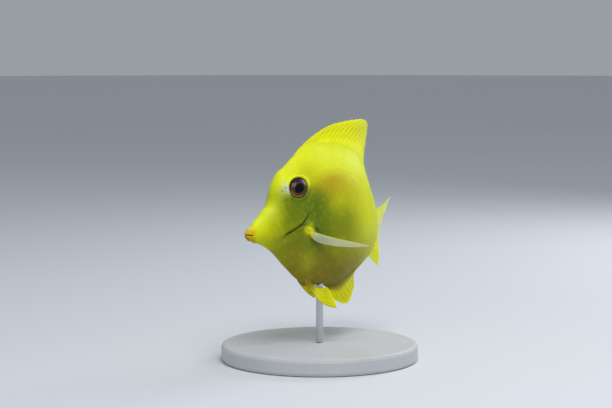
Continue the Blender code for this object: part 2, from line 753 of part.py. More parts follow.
def main():
    for obj in list(bpy.data.objects):
        bpy.data.objects.remove(obj)
    parts = bpy.data.collections.new("yellow_tang")
    cutters = bpy.data.collections.new("cutters")
    for collection in (parts, cutters):
        bpy.context.scene.collection.children.link(collection)
    flesh = material("fish_yellow", YELLOW, 0.45)
    fin_skin = material("fin_yellow", FIN_YELLOW, 0.45)
    clear = material("pectoral_clear", CLEAR_FIN, 0.4)
    white = material("spine_white", WHITE, 0.4)
    brown = material("eye_brown", EYE_BROWN, 0.08)
    grey = material("stand_grey", STAND_GREY, 0.5)
    steel = material("rod_steel", STEEL, 0.3, 1.0)

    head, torso, stalk = make_body(parts, cutters)
    make_eyes(head, parts, cutters, brown)
    make_mouth(head, cutters)
    make_nostrils(head, cutters)
    make_blades(stalk, parts, cutters, white)
    for piece in (head, torso, stalk):
        finish(piece, flesh)
    skin = solid("grown_body", *body_mesh(GAP), cutters)
    make_median_fins(parts, skin, fin_skin)
    make_tail_fin(parts, fin_skin)
    make_pelvic_fins(parts, skin, fin_skin)
    make_pectoral_fins(parts, skin, clear)
    make_stand(parts, skin, grey, steel)
    for cutter in list(cutters.objects):
        bpy.data.objects.remove(cutter)
    bpy.data.collections.remove(cutters)


main()
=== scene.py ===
# Looks of a yellow tang display model: one skin with its relief and colours, fins with rays, eyes,
# the white blades of the tail stalk, the finish of the stand, floor, lights and camera.
# The fish is drawn straight, in body lengths: x runs from the snout (0) to the end of the tail
# stalk (1), z is up and its left side is -y. posed() bends it and sets it on the stand in metres.

import bpy
import numpy as np
from mathutils import Matrix


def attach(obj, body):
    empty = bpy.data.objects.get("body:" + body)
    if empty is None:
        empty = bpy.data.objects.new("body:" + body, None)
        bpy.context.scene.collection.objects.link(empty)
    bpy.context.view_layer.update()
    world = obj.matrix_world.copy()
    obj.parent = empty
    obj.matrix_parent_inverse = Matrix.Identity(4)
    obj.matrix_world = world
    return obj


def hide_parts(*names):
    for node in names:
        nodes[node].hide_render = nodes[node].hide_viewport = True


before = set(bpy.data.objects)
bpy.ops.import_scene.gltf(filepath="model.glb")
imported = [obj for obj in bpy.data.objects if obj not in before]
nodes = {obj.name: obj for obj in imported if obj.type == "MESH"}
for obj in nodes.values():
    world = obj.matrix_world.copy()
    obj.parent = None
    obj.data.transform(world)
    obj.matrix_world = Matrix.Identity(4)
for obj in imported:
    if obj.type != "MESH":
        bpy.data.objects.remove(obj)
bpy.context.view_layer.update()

# Real size and pose
LENGTH = 0.080
MM = 0.001 / LENGTH
BEND = 46.0
BEND_START = 0.54
BEND_POWER = 1.35
ROLL = -6.6
PITCH = -4.2
PIVOT = np.array([0.45, 0.0, 0.03])
PIVOT_HEIGHT = 0.050
ROD_X = 0.44

# Outline of the body, seen from the side and from above
TOP_LINE = [
    (0.0, -0.030), (0.05, 0.012), (0.104, 0.061), (0.154, 0.117), (0.173, 0.170), (0.193, 0.216),
    (0.240, 0.255), (0.30, 0.303), (0.40, 0.345), (0.50, 0.343), (0.62, 0.325), (0.74, 0.278),
    (0.84, 0.170), (0.92, 0.092), (0.96, 0.073), (1.0, 0.070), (1.04, 0.076),
]
BELLY_LINE = [
    (0.0, -0.052), (0.03, -0.071), (0.08, -0.080), (0.15, -0.112), (0.24, -0.188), (0.33, -0.253),
    (0.42, -0.264), (0.52, -0.268), (0.64, -0.211), (0.76, -0.150), (0.86, -0.105), (0.93, -0.076),
    (1.0, -0.057), (1.04, -0.060),
]
HALF_WIDTH = [
    (0.0, 0.011), (0.05, 0.025), (0.12, 0.045), (0.20, 0.067), (0.30, 0.080), (0.40, 0.084),
    (0.52, 0.084), (0.66, 0.066), (0.80, 0.043), (0.90, 0.027), (1.0, 0.015), (1.04, 0.008),
]
MIDDLE = 0.48
BODY_END = 1.02
SKIN_END = 1.05
NOSE_ROUND = 0.018
STATIONS = 300
STATION_POWER = 1.6
AROUND = 330

# How much flatter and narrower the body ends, and how much sharper than an ellipse its back and
# belly get: by how much, from which x, and over what length
END_SHORTER = 0.22
END_NARROWER = 0.72
BACK_SHARP = (0.28, 0.15, 0.3)
KEEL_SHARP = (0.15, 0.1, 0.4)

# How far points are drawn to the gill line and to the eyes' edges, and within what reach
PACKING = 0.7
GILL_PACKING = 0.014
EYE_PACKING = 0.007
EYE_ZONE = 0.09

# Lips, mouth and nostrils. A form of the relief is a place, a reach and, if given, a height.
LIP_X = 0.013
LIP_SWELL = 0.10
GROOVE_X = 0.034
GROOVE_SINK = 0.11
LIP_REACH = 0.009
MOUTH_FRONT = (-0.012, -0.0395)
MOUTH_CORNER = (0.031, -0.0455)
MOUTH_DEPTH = 0.9 * MM
MOUTH_REACH = 0.13 * MM
MOUTH_PAST = 0.004
LIP_EDGE = (0.0062, 0.0040, 0.16 * MM)
SNOUT_CREASE = (0.047, 0.0035, 0.07 * MM)
SNOUT_RING = (0.056, 0.0045, 0.05 * MM)
NOSTRILS = [(0.184, 0.146, 0.34 * MM), (0.2015, 0.160, 0.36 * MM)]
NOSTRIL_RIM = (1.3, 0.5)
NOSTRIL_RIM_RISE = 0.11 * MM
NOSTRIL_HOLE = 0.72
NOSTRIL_DEPTH = 0.42 * MM

# Gill cover
GILL_LINE = [
    (-0.40, 0.140), (-0.20, 0.144), (-0.12, 0.149), (-0.07, 0.162), (-0.037, 0.189), (-0.022, 0.220),
    (-0.006, 0.247), (0.014, 0.274), (0.04, 0.297), (0.09, 0.319), (0.125, 0.334), (0.16, 0.338),
    (0.31, 0.302), (0.45, 0.290),
]
FLAP_LIFT = 0.35 * MM
FLAP_REACH = 0.035
FLAP_SPAN = (-0.075, -0.042, 0.05, 0.14)
SLIT_SPAN = (-0.048, -0.034, 0.03, 0.055)
SLIT_DEPTH = 0.8 * MM
SLIT_REACH = 0.013
FLAP_EDGE = (-0.0030, 0.0012)
BEHIND_FLAP_DEPTH = 0.25 * MM
CREASE_LENGTH = 0.0105
CREASE_SWAY = 3
CREASE_TURN = 40
CREASES = (0.030, 0.020, 0.060 * MM)
SLIT_FOLD_LENGTH = 0.017
SLIT_FOLDS = (-0.030, 0.018, 0.05 * MM)

# Flank: lateral line, the fold over the pectoral fin's root, muscle fibres and the blade's groove
LATERAL_X = (0.33, 0.41, 0.50, 0.56, 0.62, 0.80, 0.93)
LATERAL_SHARE = (0.52, 0.61, 0.68, 0.675, 0.633, 0.42, 0.10)
LATERAL_DEPTH = 0.045 * MM
LATERAL_REACH = 0.0035
LATERAL_SHOWN = (0.33, 0.36, 0.90, 0.94)
FOLD_X = (0.27, 0.311, 0.349, 0.375)
FOLD_Z = (-0.002, -0.009, -0.020, -0.040)
FOLD_FROM = (0.004, 0.012)
FOLD_TO = (0.345, 0.375)
FOLD_RISE = 0.28 * MM
FOLD_DEPTH = 0.42 * MM
FIBRE_LENGTH = 0.032
FIBRE_SLANT = 0.35
FIBRES_X = (0.35, 0.42, 0.90, 0.96)
FIBRES_Z = (0.02, 0.17, 0.014 * MM)
GROOVE_OVAL = (0.030, 0.0135)
GROOVE_LIP = (1.15, 0.22, 0.16 * MM)
GROOVE_DEPTH = 0.20 * MM

# Eyes
EYE_X = 0.267
EYE_Z = 0.162
EYE_SLANT = 56.0
EYE_LONG = 1.11
BALL_RADIUS = 0.054
BALL_THICK = 0.038
BALL_DEPTH = 0.022
SOCKET_RADIUS = 0.0485
SOCKET_DEPTH = 1.3 * MM
RIM_RADIUS = 0.0570
RIM_LIFT = 0.38 * MM
RIM_REACH = 0.0075
LOW_RIM = 0.35
EYE_CREASE = (0.0670, 0.0035, 0.07 * MM)
EYE_BAG = (0.0780, 0.0035, 0.05 * MM)
EYE_RINGS, EYE_AROUND = 120, 160
POLE_GAP = 0.03
PUPIL = 0.0215
PUPIL_LONG = 1.16
IRIS = 0.0425
IRIS_SHIFT = (0.005, -0.006)

# Fins
WEB_THICK = 0.34 * MM
TIP_THICK = 0.16 * MM
RAY_RISE = 0.34 * MM
NOTCH = 0.004
SPINY_NOTCH = 0.025
ROOT_SINK = 0.035
BACK_RISE = 0.25
KEEL_RISE = 0.09
ROOT_REACH = (0.007, 0.024)
BACK_RISE_X = (0.31, 0.38, 0.86, 0.93)
KEEL_RISE_X = (0.48, 0.54, 0.86, 0.92)
PER_RAY = 10
FIN_ROWS = 64
RIPPLE = 0.45 * MM
TAIL_RIPPLE = 0.1 * MM
RAY_OWN_LENGTH = (-0.004, 0.002)

DORSAL_BASE = (0.30, 0.94)
DORSAL_RAYS = 28
DORSAL_SPINES = 5
DORSAL_BOW = 0.035
DORSAL_ANGLE = [(0.0, 45.5), (0.2, 41.5), (0.5, 34.5), (0.8, 25.0), (1.0, 14.0)]
DORSAL_LENGTH = [
    (0.0, 0.045), (0.08, 0.09), (0.17, 0.14), (0.35, 0.226), (0.55, 0.290), (0.64, 0.300),
    (0.71, 0.224), (0.80, 0.168), (0.90, 0.120), (1.0, 0.05),
]
DORSAL_LEAN = 0.11
DORSAL_LEAN_FROM = 0.46
LEAN_OVER = 0.33
LEAN_POWER = 2.6

ANAL_BASE = (0.475, 0.93)
ANAL_RAYS = 22
ANAL_SPINES = 3
ANAL_BOW = -0.035
ANAL_ANGLE = [(0.0, -55.0), (0.3, -48.0), (0.6, -40.0), (0.8, -33.0), (1.0, -20.0)]
ANAL_LENGTH = [
    (0.0, 0.07), (0.12, 0.112), (0.30, 0.097), (0.55, 0.062), (0.75, 0.060), (0.90, 0.050), (1.0, 0.03),
]
ANAL_LEAN = 0.08
ANAL_LEAN_FROM = 0.15

TAIL_RAYS = 16
TAIL_SPREAD = 25.0
TAIL_TILT = -5.5
TAIL_LENGTH = 0.205
TAIL_FORK = 0.03
TAIL_TWIST = -14.0
TAIL_TURN = -24.0
TAIL_CUP = 0.015
TAIL_BOW = 0.034
TAIL_FLARE = 0.012

PELVIC_X = 0.325
PELVIC_CHORD = 0.04
PELVIC_APART = 0.022
PELVIC_RAYS = 6
PELVIC_LENGTH = {"left": 0.205, "right": 0.152}
PELVIC_ANGLE = {"left": -25.0, "right": -19.0}
PELVIC_SPREAD = 26.0
PELVIC_OUT = 17.0
PELVIC_SINK = 0.016
PELVIC_BOW = {"left": 0.034, "right": 0.010}

PECTORAL_X = (0.290, 0.326)
PECTORAL_Z = (-0.013, -0.056)
PECTORAL_RAYS = 14
PECTORAL_LENGTH = 0.295
PECTORAL_OUT = 33.0
PECTORAL_UP = -17.0
PECTORAL_DOWN = 1.0
PECTORAL_FAN = 22.0
PECTORAL_SINK = 0.03
PECTORAL_BOW = 0.012
PECTORAL_BOW_SKEW = 0.55
PECTORAL_SWELL = 0.75 * MM

# White blade on each side of the tail stalk
SPINE_X = (0.925, 0.972)
SPINE_Z = 0.010
SPINE_DEEP = 0.9 * MM
SPINE_TALL = 0.5 * MM
SPINE_PROUD = 0.22 * MM
SPINE_SHARE = 0.9
SPINE_TIP = 0.02

SIDES = ((-1, "left"), (1, "right"))


def rgb(red, green, blue):
    """A screen colour from 0 to 255, as the linear values that shaders use."""
    c = np.array([red, green, blue]) / 255
    return np.where(c <= 0.04045, c / 12.92, ((c + 0.055) / 1.055) ** 2.4)


# Colours
LEMON = rgb(216, 222, 6)
# BRIGHT: painted light on the back, snout and brow; also the cheek creases' lighter colour and random
# lighter tone
BRIGHT = rgb(228, 240, 36)
ORANGE = rgb(176, 140, 6)
MUSTARD = rgb(138, 140, 10)
OLIVE = rgb(82, 110, 12)
BROWN = rgb(122, 106, 22)
LIP = rgb(214, 158, 22)
NOSTRIL_PALE = rgb(186, 206, 206)
NOSTRIL_PINK = rgb(200, 186, 150)
DARK = rgb(40, 40, 14)
SHEATH = rgb(250, 250, 232)
# The dorsal fin's web is lighter than the body's yellow: painted light that makes up for the shade on its
# upright faces
LIT_FIN_WEB = rgb(244, 247, 8)
FIN_RAY = rgb(176, 172, 8)
FIN_RIM = rgb(250, 250, 24)
LOW_WEB = rgb(216, 214, 4)
LOW_RAY = rgb(186, 160, 6)
# The tail's web, also laid on the end of the tail stalk, and the lime of its upper lobe are lighter than
# the body's yellow: painted light of the backlit tail
LIT_TAIL_WEB = rgb(240, 250, 14)
BACKLIT_TAIL_LIME = rgb(244, 255, 100)
PALE_WEB = rgb(224, 226, 196)
PALE_RAY = rgb(232, 232, 178)
LOBE = rgb(216, 222, 10)
PUPIL_BLACK = rgb(6, 8, 16)
IRIS_BROWN = rgb(44, 24, 16)
# The iris's gold, laid on its lower side: partly its own colour, partly painted light from above
IRIS_GOLD = rgb(236, 168, 36)
IRIS_RED = rgb(132, 56, 30)
# Violet painted reflection on the upper iris
IRIS_VIOLET_REFLECTION = rgb(58, 26, 110)
IRIS_RING = rgb(168, 124, 70)
IRIS_OLIVE = rgb(110, 112, 36)
# EYE_EDGE: the iris's dark fibres, and painted shade on the eyeball's edge in the socket's gap
EYE_EDGE = rgb(14, 12, 8)

# Where colours begin and end on the skin: x, z, or a height as a share of the body's
# Painted light from above on the back and the top of the snout
LIT_BACK_HEIGHT = (0.55, 0.95)
LIT_SNOUT_X = (0.10, 0.09)
LIT_SNOUT_HEIGHT = (-0.1, 0.5)
PATCH_X = (0.46, 0.16)
PATCH_BELOW = (-0.030, 0.045, 0.06, 0.17)
# Painted shade on the lower flank
FLANK_SHADE_X = (0.30, 0.38, 0.52, 0.72)
FLANK_SHADE_HEIGHT = (-0.05, 0.60)
# The cheek's olive: partly its own colour, partly painted shade
CHEEK_X = (0.11, 0.21, 0.36, 0.50)
CHEEK_Z = (-0.19, -0.08, 0.10, 0.19)
# Painted shade under the throat, and the keel's brown, partly its own colour and partly painted shade
THROAT_X = (0.17, 0.09)
THROAT_HEIGHT = (-0.6, 0.25)
KEEL_FROM = (0.16, 0.26)
KEEL_TO = (0.62, 0.85)
KEEL_HEIGHT = (-0.95, -0.12)

# Soft spots of colour on the skin: place and reach along x, then along z, and strength
NAPE_SPOT = (0.335, 0.05, 0.235, 0.035, 0.30)
# Painted shade on the middle of the flank
FLANK_SHADE_SPOT = (0.50, 0.16, -0.01, 0.08, 0.40)
BEHIND_EYE_SPOT = (0.345, 0.05, 0.150, 0.06, 0.35)
MUZZLE_SPOT = (0.13, 0.045, 0.005, 0.055, 0.45)

# Rings of the iris as distances from its middle, and the pupil's edge as shares of the pupil
RED_RING = (0.0365, 0.004)
# The violet ring carries a painted reflection
VIOLET_REFLECTION_RING = (0.033, 0.006)
GOLD_RING = (0.0372, 0.0036)
PUPIL_RING = (1.24, 0.045)
PUPIL_EDGE = (1.0, 1.10)

# Random unevenness: seed, number of waves, their size in body lengths, and sway
SKIN_WAVES = (3, 10, 0.12, 0.6)
TONE_WAVES = (7, 12, 0.11, 0.8)
MOTTLING = (21, 14, 0.026, 0.9)
BRIGHT_WAVES = (11, 14, 0.03, 0.9)
FIN_WAVES = (5, 10, 0.05, 0.8)

# Each fin's web, rays and rim, how far out the skin's colour reaches, and how strongly rays show
# The dorsal web carries painted light, and the tail web painted light of the backlit tail
DORSAL_PAINT = (LIT_FIN_WEB, FIN_RAY, FIN_RIM, 0.32, 0.60)
ANAL_PAINT = (LOW_WEB, LOW_RAY, FIN_RIM, 0.42, 0.45)
TAIL_PAINT = (LIT_TAIL_WEB, FIN_RAY, FIN_RIM, 0.12, 0.30)
PELVIC_PAINT = (LOW_WEB, LOW_RAY, FIN_RIM, 0.42, 0.35)
PECTORAL_PAINT = (PALE_WEB, PALE_RAY, PALE_WEB, 0.0, 0.75)


def curve(points):
    """A smooth function through the points, with each slope taken from the neighbours."""
    xs = np.array([p[0] for p in points])
    ys = np.array([p[1] for p in points])
    slopes = np.gradient(ys, xs)

    def at(x):
        x = np.clip(np.asarray(x, float), xs[0], xs[-1])
        k = np.clip(np.searchsorted(xs, x) - 1, 0, len(xs) - 2)
        h = xs[k + 1] - xs[k]
        t = (x - xs[k]) / h
        ends = (2 * t**3 - 3 * t**2 + 1) * ys[k] + (3 * t**2 - 2 * t**3) * ys[k + 1]
        return ends + h * ((t**3 - 2 * t**2 + t) * slopes[k] + (t**3 - t**2) * slopes[k + 1])

    return at


top = curve(TOP_LINE)
belly = curve(BELLY_LINE)
half_width = curve(HALF_WIDTH)
gill = curve(GILL_LINE)
dorsal_angle = curve(DORSAL_ANGLE)
dorsal_length = curve(DORSAL_LENGTH)
anal_angle = curve(ANAL_ANGLE)
anal_length = curve(ANAL_LENGTH)
TAIL_MIDDLE = float(top(BODY_END) + belly(BODY_END)) / 2


def bump(distance, reach):
    """A smooth swelling, 1 at no distance and fading over the reach."""
    return np.exp(-((distance / reach) ** 2))


def band(value, place, reach, height=1.0):
    """A smooth swelling where the value is at a place, fading over the reach."""
    return height * bump(value - place, reach)


def spot(x, z, x_place, x_reach, z_place, z_reach, strength):
    """A soft oval spot on the side of the body."""
    return strength * band(x, x_place, x_reach) * band(z, z_place, z_reach)


def ramp(x, low, high):
    """Rises smoothly from 0 at low to 1 at high."""
    t = np.clip((x - low) / (high - low), 0, 1)
    return t * t * (3 - 2 * t)


def plateau(x, start, full, fading, end):
    """Rises smoothly from 0 to 1 between the first two places, and falls between the last two."""
    return ramp(x, start, full) * (1 - ramp(x, fading, end))


def span(x, stops):
    """0, then 1 between the middle two stops, then 0."""
    return np.interp(x, stops, (0, 1, 1, 0))


def unit(v):
    return v / np.maximum(np.linalg.norm(v, axis=-1, keepdims=True), 1e-12)


def sin_cos(degrees):
    return np.sin(np.radians(degrees)), np.cos(np.radians(degrees))


def turned(axis, degrees):
    """A rotation matrix about one of the axes."""
    s, c = sin_cos(degrees)
    if axis == "x":
        return np.array([[1, 0, 0], [0, c, -s], [0, s, c]])
    return np.array([[c, 0, s], [0, 1, 0], [-s, 0, c]])


def spine_curve():
    """Places and headings along the bent middle line, which turns towards +y near the tail."""
    s = np.linspace(-0.3, 1.6, 400)
    along = np.clip((s - BEND_START) / (1 - BEND_START), 0, 1.15)
    heading = np.radians(BEND) * along**BEND_POWER
    middle = (heading[1:] + heading[:-1]) / 2
    step = s[1] - s[0]
    x = np.concatenate([[0], np.cumsum(np.cos(middle)) * step]) + s[0]
    y = np.concatenate([[0], np.cumsum(np.sin(middle)) * step])
    return s, x, y, heading


SPINE = spine_curve()
TILT = turned("y", -PITCH) @ turned("x", ROLL)


def bent(points):
    """Points of the straight fish, moved to the turning pose, in body lengths."""
    s, x, y, heading = SPINE
    a = np.interp(points[:, 0], s, heading)
    bend_x = np.interp(points[:, 0], s, x) - np.sin(a) * points[:, 1]
    bend_y = np.interp(points[:, 0], s, y) + np.cos(a) * points[:, 1]
    return (np.stack([bend_x, bend_y, points[:, 2]], 1) - PIVOT) @ TILT.T


def posed(points):
    """Points of the straight fish in metres, with the stand's rod over the origin."""
    rod = bent(np.array([[ROD_X, 0.0, belly(ROD_X)]]))[0]
    shift = np.array([-rod[0], -rod[1], PIVOT_HEIGHT / LENGTH])
    return (bent(np.asarray(points, float)) + shift) * LENGTH


def section(x):
    """The body's upper and lower half heights, half width and middle height at x."""
    upper = top(x)
    lower = belly(x)
    centre = lower + MIDDLE * (upper - lower)
    ahead = np.clip(1 - x / NOSE_ROUND, 0, 1)
    nose = np.sqrt(1 - ahead**2)
    nose = nose * (1 + LIP_SWELL * band(x, LIP_X, LIP_REACH) - GROOVE_SINK * band(x, GROOVE_X, LIP_REACH))
    past = ramp(x, BODY_END - 0.01, SKIN_END)
    tall = nose * (1 - END_SHORTER * past)
    wide = half_width(x) * nose * (1 - END_NARROWER * past)
    return (upper - centre) * tall, (centre - lower) * tall, wide, centre


def blade_powers(x):
    """How sharp the back and the belly are: 0.5 is an ellipse, and more is sharper."""
    return [
        0.5 + more * np.clip((x - start) / over, 0, 1) for more, start, over in (BACK_SHARP, KEEL_SHARP)
    ]


def side_y(x, z):
    """Half width of the body at a place on its side."""
    high, low, wide, centre = section(x)
    back, keel = blade_powers(x)
    up = z >= centre
    part = np.clip((z - centre) / np.where(up, high, low), -1, 1)
    return wide * (1 - part**2) ** np.where(up, back, keel)


def side_normal(x, z, side):
    """The way the body's side faces at a place on it."""
    d = 0.004
    slope_x = (side_y(x + d, z) - side_y(x - d, z)) / (2 * d)
    slope_z = (side_y(x, z + d) - side_y(x, z - d)) / (2 * d)
    return unit(np.array([-slope_x, side, -slope_z]))


def eye_axes(side):
    """The eye's place on the skin, and its outward, forward and upward directions."""
    n = side_normal(EYE_X, EYE_Z, side)
    up = unit(np.array([0, 0, 1]) - n * n[2])
    forward = np.cross(up, n) * side
    return np.array([EYE_X, side * float(side_y(EYE_X, EYE_Z)), EYE_Z]), n, forward, up


def fin_rise(x, base, length, share, stops):
    """How far the body is drawn out along a middle fin's root: a share of the fin's length there."""
    t = (x - base[0]) / (base[1] - base[0])
    return share * length(np.clip(t, 0, 1)) * plateau(x, *stops)


def with_fin_roots(x, y, z):
    """Heights of the skin, with its back and belly drawn out along the roots of the middle fins."""
    back = fin_rise(x, DORSAL_BASE, dorsal_length, BACK_RISE, BACK_RISE_X)
    keel = fin_rise(x, ANAL_BASE, anal_length, KEEL_RISE, KEEL_RISE_X)
    near = np.abs(y)
    fillet = (np.exp(-near / ROOT_REACH[0]) + np.exp(-near / ROOT_REACH[1])) / 2
    return z + fillet * np.where(z > section(x)[3], back, -keel)


def oval(a, b, long):
    """Half width of the slanting oval on which a place lies, forward and up from its middle."""
    s, c = sin_cos(EYE_SLANT)
    return np.hypot((b * c - a * s) / long, (a * c + b * s) * long)


def eye_distance(points, side):
    """How far points of the body are from the middle of the eye, along the skin."""
    place, n, forward, up = eye_axes(side)
    away = points - place
    r = oval(away @ forward, away @ up, EYE_LONG)
    return np.where(points[..., 1] * side > 0, r, 1.0)


def drawn_to(x, line, reach):
    """Moves places near a line closer to it, so that the mesh is finer there."""
    return line + (x - line) * (1 - PACKING * bump(x - line, reach))


def base_grid():
    """Rings of the smooth body, with their points packed along the gill line and round the eyes."""
    x = SKIN_END * (np.arange(1, STATIONS + 1) / STATIONS) ** STATION_POWER
    x = np.repeat(x[:, None], AROUND, 1)
    angle = np.linspace(0, 2 * np.pi, AROUND, endpoint=False)[None, :]
    c, s = np.cos(angle), np.sin(angle)

    def ring(x):
        high, low, wide, centre = section(x)
        back, keel = blade_powers(x)
        y = np.sign(c) * wide * np.abs(c) ** (2 * np.where(s >= 0, back, keel))
        return y, centre + np.where(s >= 0, high, low) * s

    y, z = ring(x)
    x = drawn_to(x, gill(z), GILL_PACKING * span(z, FLAP_SPAN) + 1e-9)
    y, z = ring(x)
    grid = np.stack([x, y, z], 2)
    for side, word in SIDES:
        r = eye_distance(grid, side)
        near = drawn_to(r, SOCKET_RADIUS, EYE_PACKING) / np.maximum(r, 1e-9)
        near = np.where(r < EYE_ZONE, near, 1.0)
        x = EYE_X + (grid[..., 0] - EYE_X) * near
        z = EYE_Z + (grid[..., 2] - EYE_Z) * near
        moved = np.stack([x, side * side_y(x, z), z], 2)
        grid = np.where((r < EYE_ZONE)[..., None], moved, grid)
    grid[..., 2] = with_fin_roots(*np.moveaxis(grid, 2, 0))
    return grid


def waves(points, seed, count, size, sway):
    """A gentle random unevenness between -1 and 1, with waves about the given size."""
    rng = np.random.default_rng(seed)
    total = 0
    for k in range(count):
        way = unit(rng.normal(size=3)) * 2 * np.pi / (size * rng.uniform(0.7, 1.5))
        total = total + np.sin(points @ way + rng.uniform(0, 2 * np.pi) + sway * np.sin(points @ way[::-1]))
    return total / count


def mouth_gap(x, z):
    """Height above the line of the mouth."""
    slope = (MOUTH_CORNER[1] - MOUTH_FRONT[1]) / (MOUTH_CORNER[0] - MOUTH_FRONT[0])
    return z - (MOUTH_FRONT[1] + slope * (x - MOUTH_FRONT[0]))


def lateral_line(x):
    """Height of the lateral line, which arches along the back and comes down to the tail stalk."""
    high, low, wide, centre = section(x)
    return centre + high * np.interp(x, LATERAL_X, LATERAL_SHARE)


def fold_height(x):
    """Height of the fold of skin that lies over the pectoral fin's root."""
    return np.interp(x, FOLD_X, FOLD_Z)


def along_fold(x, z):
    """1 along that fold, from the gill cover to its end."""
    return ramp(x - gill(z), *FOLD_FROM) * (1 - ramp(x, *FOLD_TO))


def from_pectoral(x, z):
    """Distance from the middle of the pectoral fin's root."""
    middle_x = (PECTORAL_X[0] + PECTORAL_X[1]) / 2
    middle_z = (PECTORAL_Z[0] + PECTORAL_Z[1]) / 2
    return np.hypot(x - middle_x, (z - middle_z) * 0.9)


def cheek_creases(distance, z):
    """Waves of the fine creases on the cheek, by the distance from the edge of the gill cover."""
    return np.sin(distance * 2 * np.pi / CREASE_LENGTH + CREASE_SWAY * np.sin(z * CREASE_TURN))


def gill_relief(x, z):
    """Raised rear edge of the gill cover, with its opening behind it and fine creases on the cheek."""
    ahead = gill(z) - x
    tall = span(z, FLAP_SPAN)
    open_part = span(z, SLIT_SPAN)
    before = ramp(ahead, *FLAP_EDGE)
    lift = before * FLAP_LIFT * bump(np.maximum(ahead, 0), FLAP_REACH) * tall
    behind = bump(np.maximum(-ahead, 0), SLIT_REACH)
    lift -= (1 - before) * behind * (BEHIND_FLAP_DEPTH * tall + SLIT_DEPTH * open_part)
    lift += cheek_creases(ahead, z) * band(ahead, *CREASES) * tall * (x > 0.10)
    folds = np.sin(ahead * 2 * np.pi / SLIT_FOLD_LENGTH)
    return lift + folds * band(ahead, *SLIT_FOLDS) * open_part


def mouth_relief(x, z):
    """The line of the mouth, the swollen edges of the lips, and a crease and a ring behind them."""
    gap = mouth_gap(x, z)
    lips = ramp(x, MOUTH_CORNER[0] + MOUTH_PAST, MOUTH_CORNER[0] - 0.010)
    lift = -MOUTH_DEPTH * bump(gap, MOUTH_REACH) * lips
    lift += (band(gap, *LIP_EDGE) + band(-gap, *LIP_EDGE)) * lips
    lift -= band(x, *SNOUT_CREASE) - band(x, *SNOUT_RING)
    for nx, nz, radius in NOSTRILS:
        r = np.hypot(x - nx, z - nz)
        rim = band(r, NOSTRIL_RIM[0] * radius, NOSTRIL_RIM[1] * radius)
        lift += NOSTRIL_RIM_RISE * rim - NOSTRIL_DEPTH * bump(r, NOSTRIL_HOLE * radius)
    return lift


def eye_relief(points, side):
    """One eye's socket, its rim, which is highest at the brow, and the creases round it."""
    z = points[..., 2]
    r = eye_distance(points, side)
    brow = LOW_RIM + (1 - LOW_RIM) * ramp(z, EYE_Z - 0.03, EYE_Z + 0.04)
    lift = RIM_LIFT * brow * band(r, RIM_RADIUS, RIM_REACH)
    lift -= band(r, *EYE_CREASE) * (1.3 - brow)
    lift -= band(r, *EYE_BAG) * (z < EYE_Z)
    inside = 1 - ramp(r, SOCKET_RADIUS - 0.0042, SOCKET_RADIUS + 0.0008)
    return lift - (SOCKET_DEPTH + RIM_LIFT * 0.4) * inside


def flank_relief(x, z):
    """Folds at the pectoral fin's root, the lateral line, muscle fibres and the blade's groove."""
    fold = z - fold_height(x)
    lift = (FOLD_RISE * band(fold, 0.016, 0.014) - FOLD_DEPTH * bump(fold, 0.0050)) * along_fold(x, z)
    lobe = from_pectoral(x, z - 0.012)
    lift += PECTORAL_SWELL * bump(lobe, 0.024) * ramp(x - gill(z), 0.004, 0.020)
    lift -= band(z, lateral_line(x), LATERAL_REACH, LATERAL_DEPTH) * plateau(x, *LATERAL_SHOWN)
    fibres = np.sin((x + FIBRE_SLANT * np.abs(z - FIBRES_Z[0])) * 2 * np.pi / FIBRE_LENGTH)
    lift += fibres * plateau(x, *FIBRES_X) * band(z, *FIBRES_Z)
    groove = np.hypot((x - np.mean(SPINE_X)) / GROOVE_OVAL[0], (z - SPINE_Z) / GROOVE_OVAL[1])
    lift += band(groove, *GROOVE_LIP)
    return lift - GROOVE_DEPTH * (1 - ramp(groove, 0.75, 1.05))


def relief(points):
    """How far the skin stands out from the smooth body, in body lengths."""
    x, z = points[..., 0], points[..., 2]
    lift = mouth_relief(x, z) + gill_relief(x, z) + flank_relief(x, z)
    for side, word in SIDES:
        lift += eye_relief(points, side)
    return lift + 0.05 * MM * waves(points, *SKIN_WAVES)


def tail_sway(x, z):
    """Sideways turn and twist of whatever lies past the end of the body."""
    far = np.maximum(x - BODY_END - 0.3 * MM, 0)
    twist = (z - TAIL_MIDDLE) * np.tan(np.radians(TAIL_TWIST)) * np.clip(far / 0.1, 0, 1)
    return twist + far * np.tan(np.radians(TAIL_TURN))


def painted(paint, *coats):
    """Colours with coats of others over them, each with its weight from 0 to 1."""
    for colour, weight in coats:
        paint = paint + (colour - paint) * np.clip(weight, 0, 1)[..., None]
    return paint


def body_coats(x, z, height, uneven):
    """Painted light that brightens the back and snout, an orange patch under the lateral line, and painted
    shade that dulls the lower and middle flank.
    """
    snout = 0.5 * band(x, *LIT_SNOUT_X) * ramp(height, *LIT_SNOUT_HEIGHT)
    patch = band(x, *PATCH_X) * plateau(lateral_line(x) - z, *PATCH_BELOW)
    lower_flank_shade = plateau(x, *FLANK_SHADE_X) * (1 - ramp(height + 0.10 * uneven, *FLANK_SHADE_HEIGHT))
    return [
        # Painted light from above on the back and snout
        (BRIGHT, 0.45 * ramp(height, *LIT_BACK_HEIGHT) + snout),
        (ORANGE, 0.80 * patch),
        (ORANGE, spot(x, z, *NAPE_SPOT)),
        # Painted shade on the lower flank and the middle of the flank
        (MUSTARD, 0.85 * lower_flank_shade),
        (OLIVE, spot(x, z, *FLANK_SHADE_SPOT)),
    ]


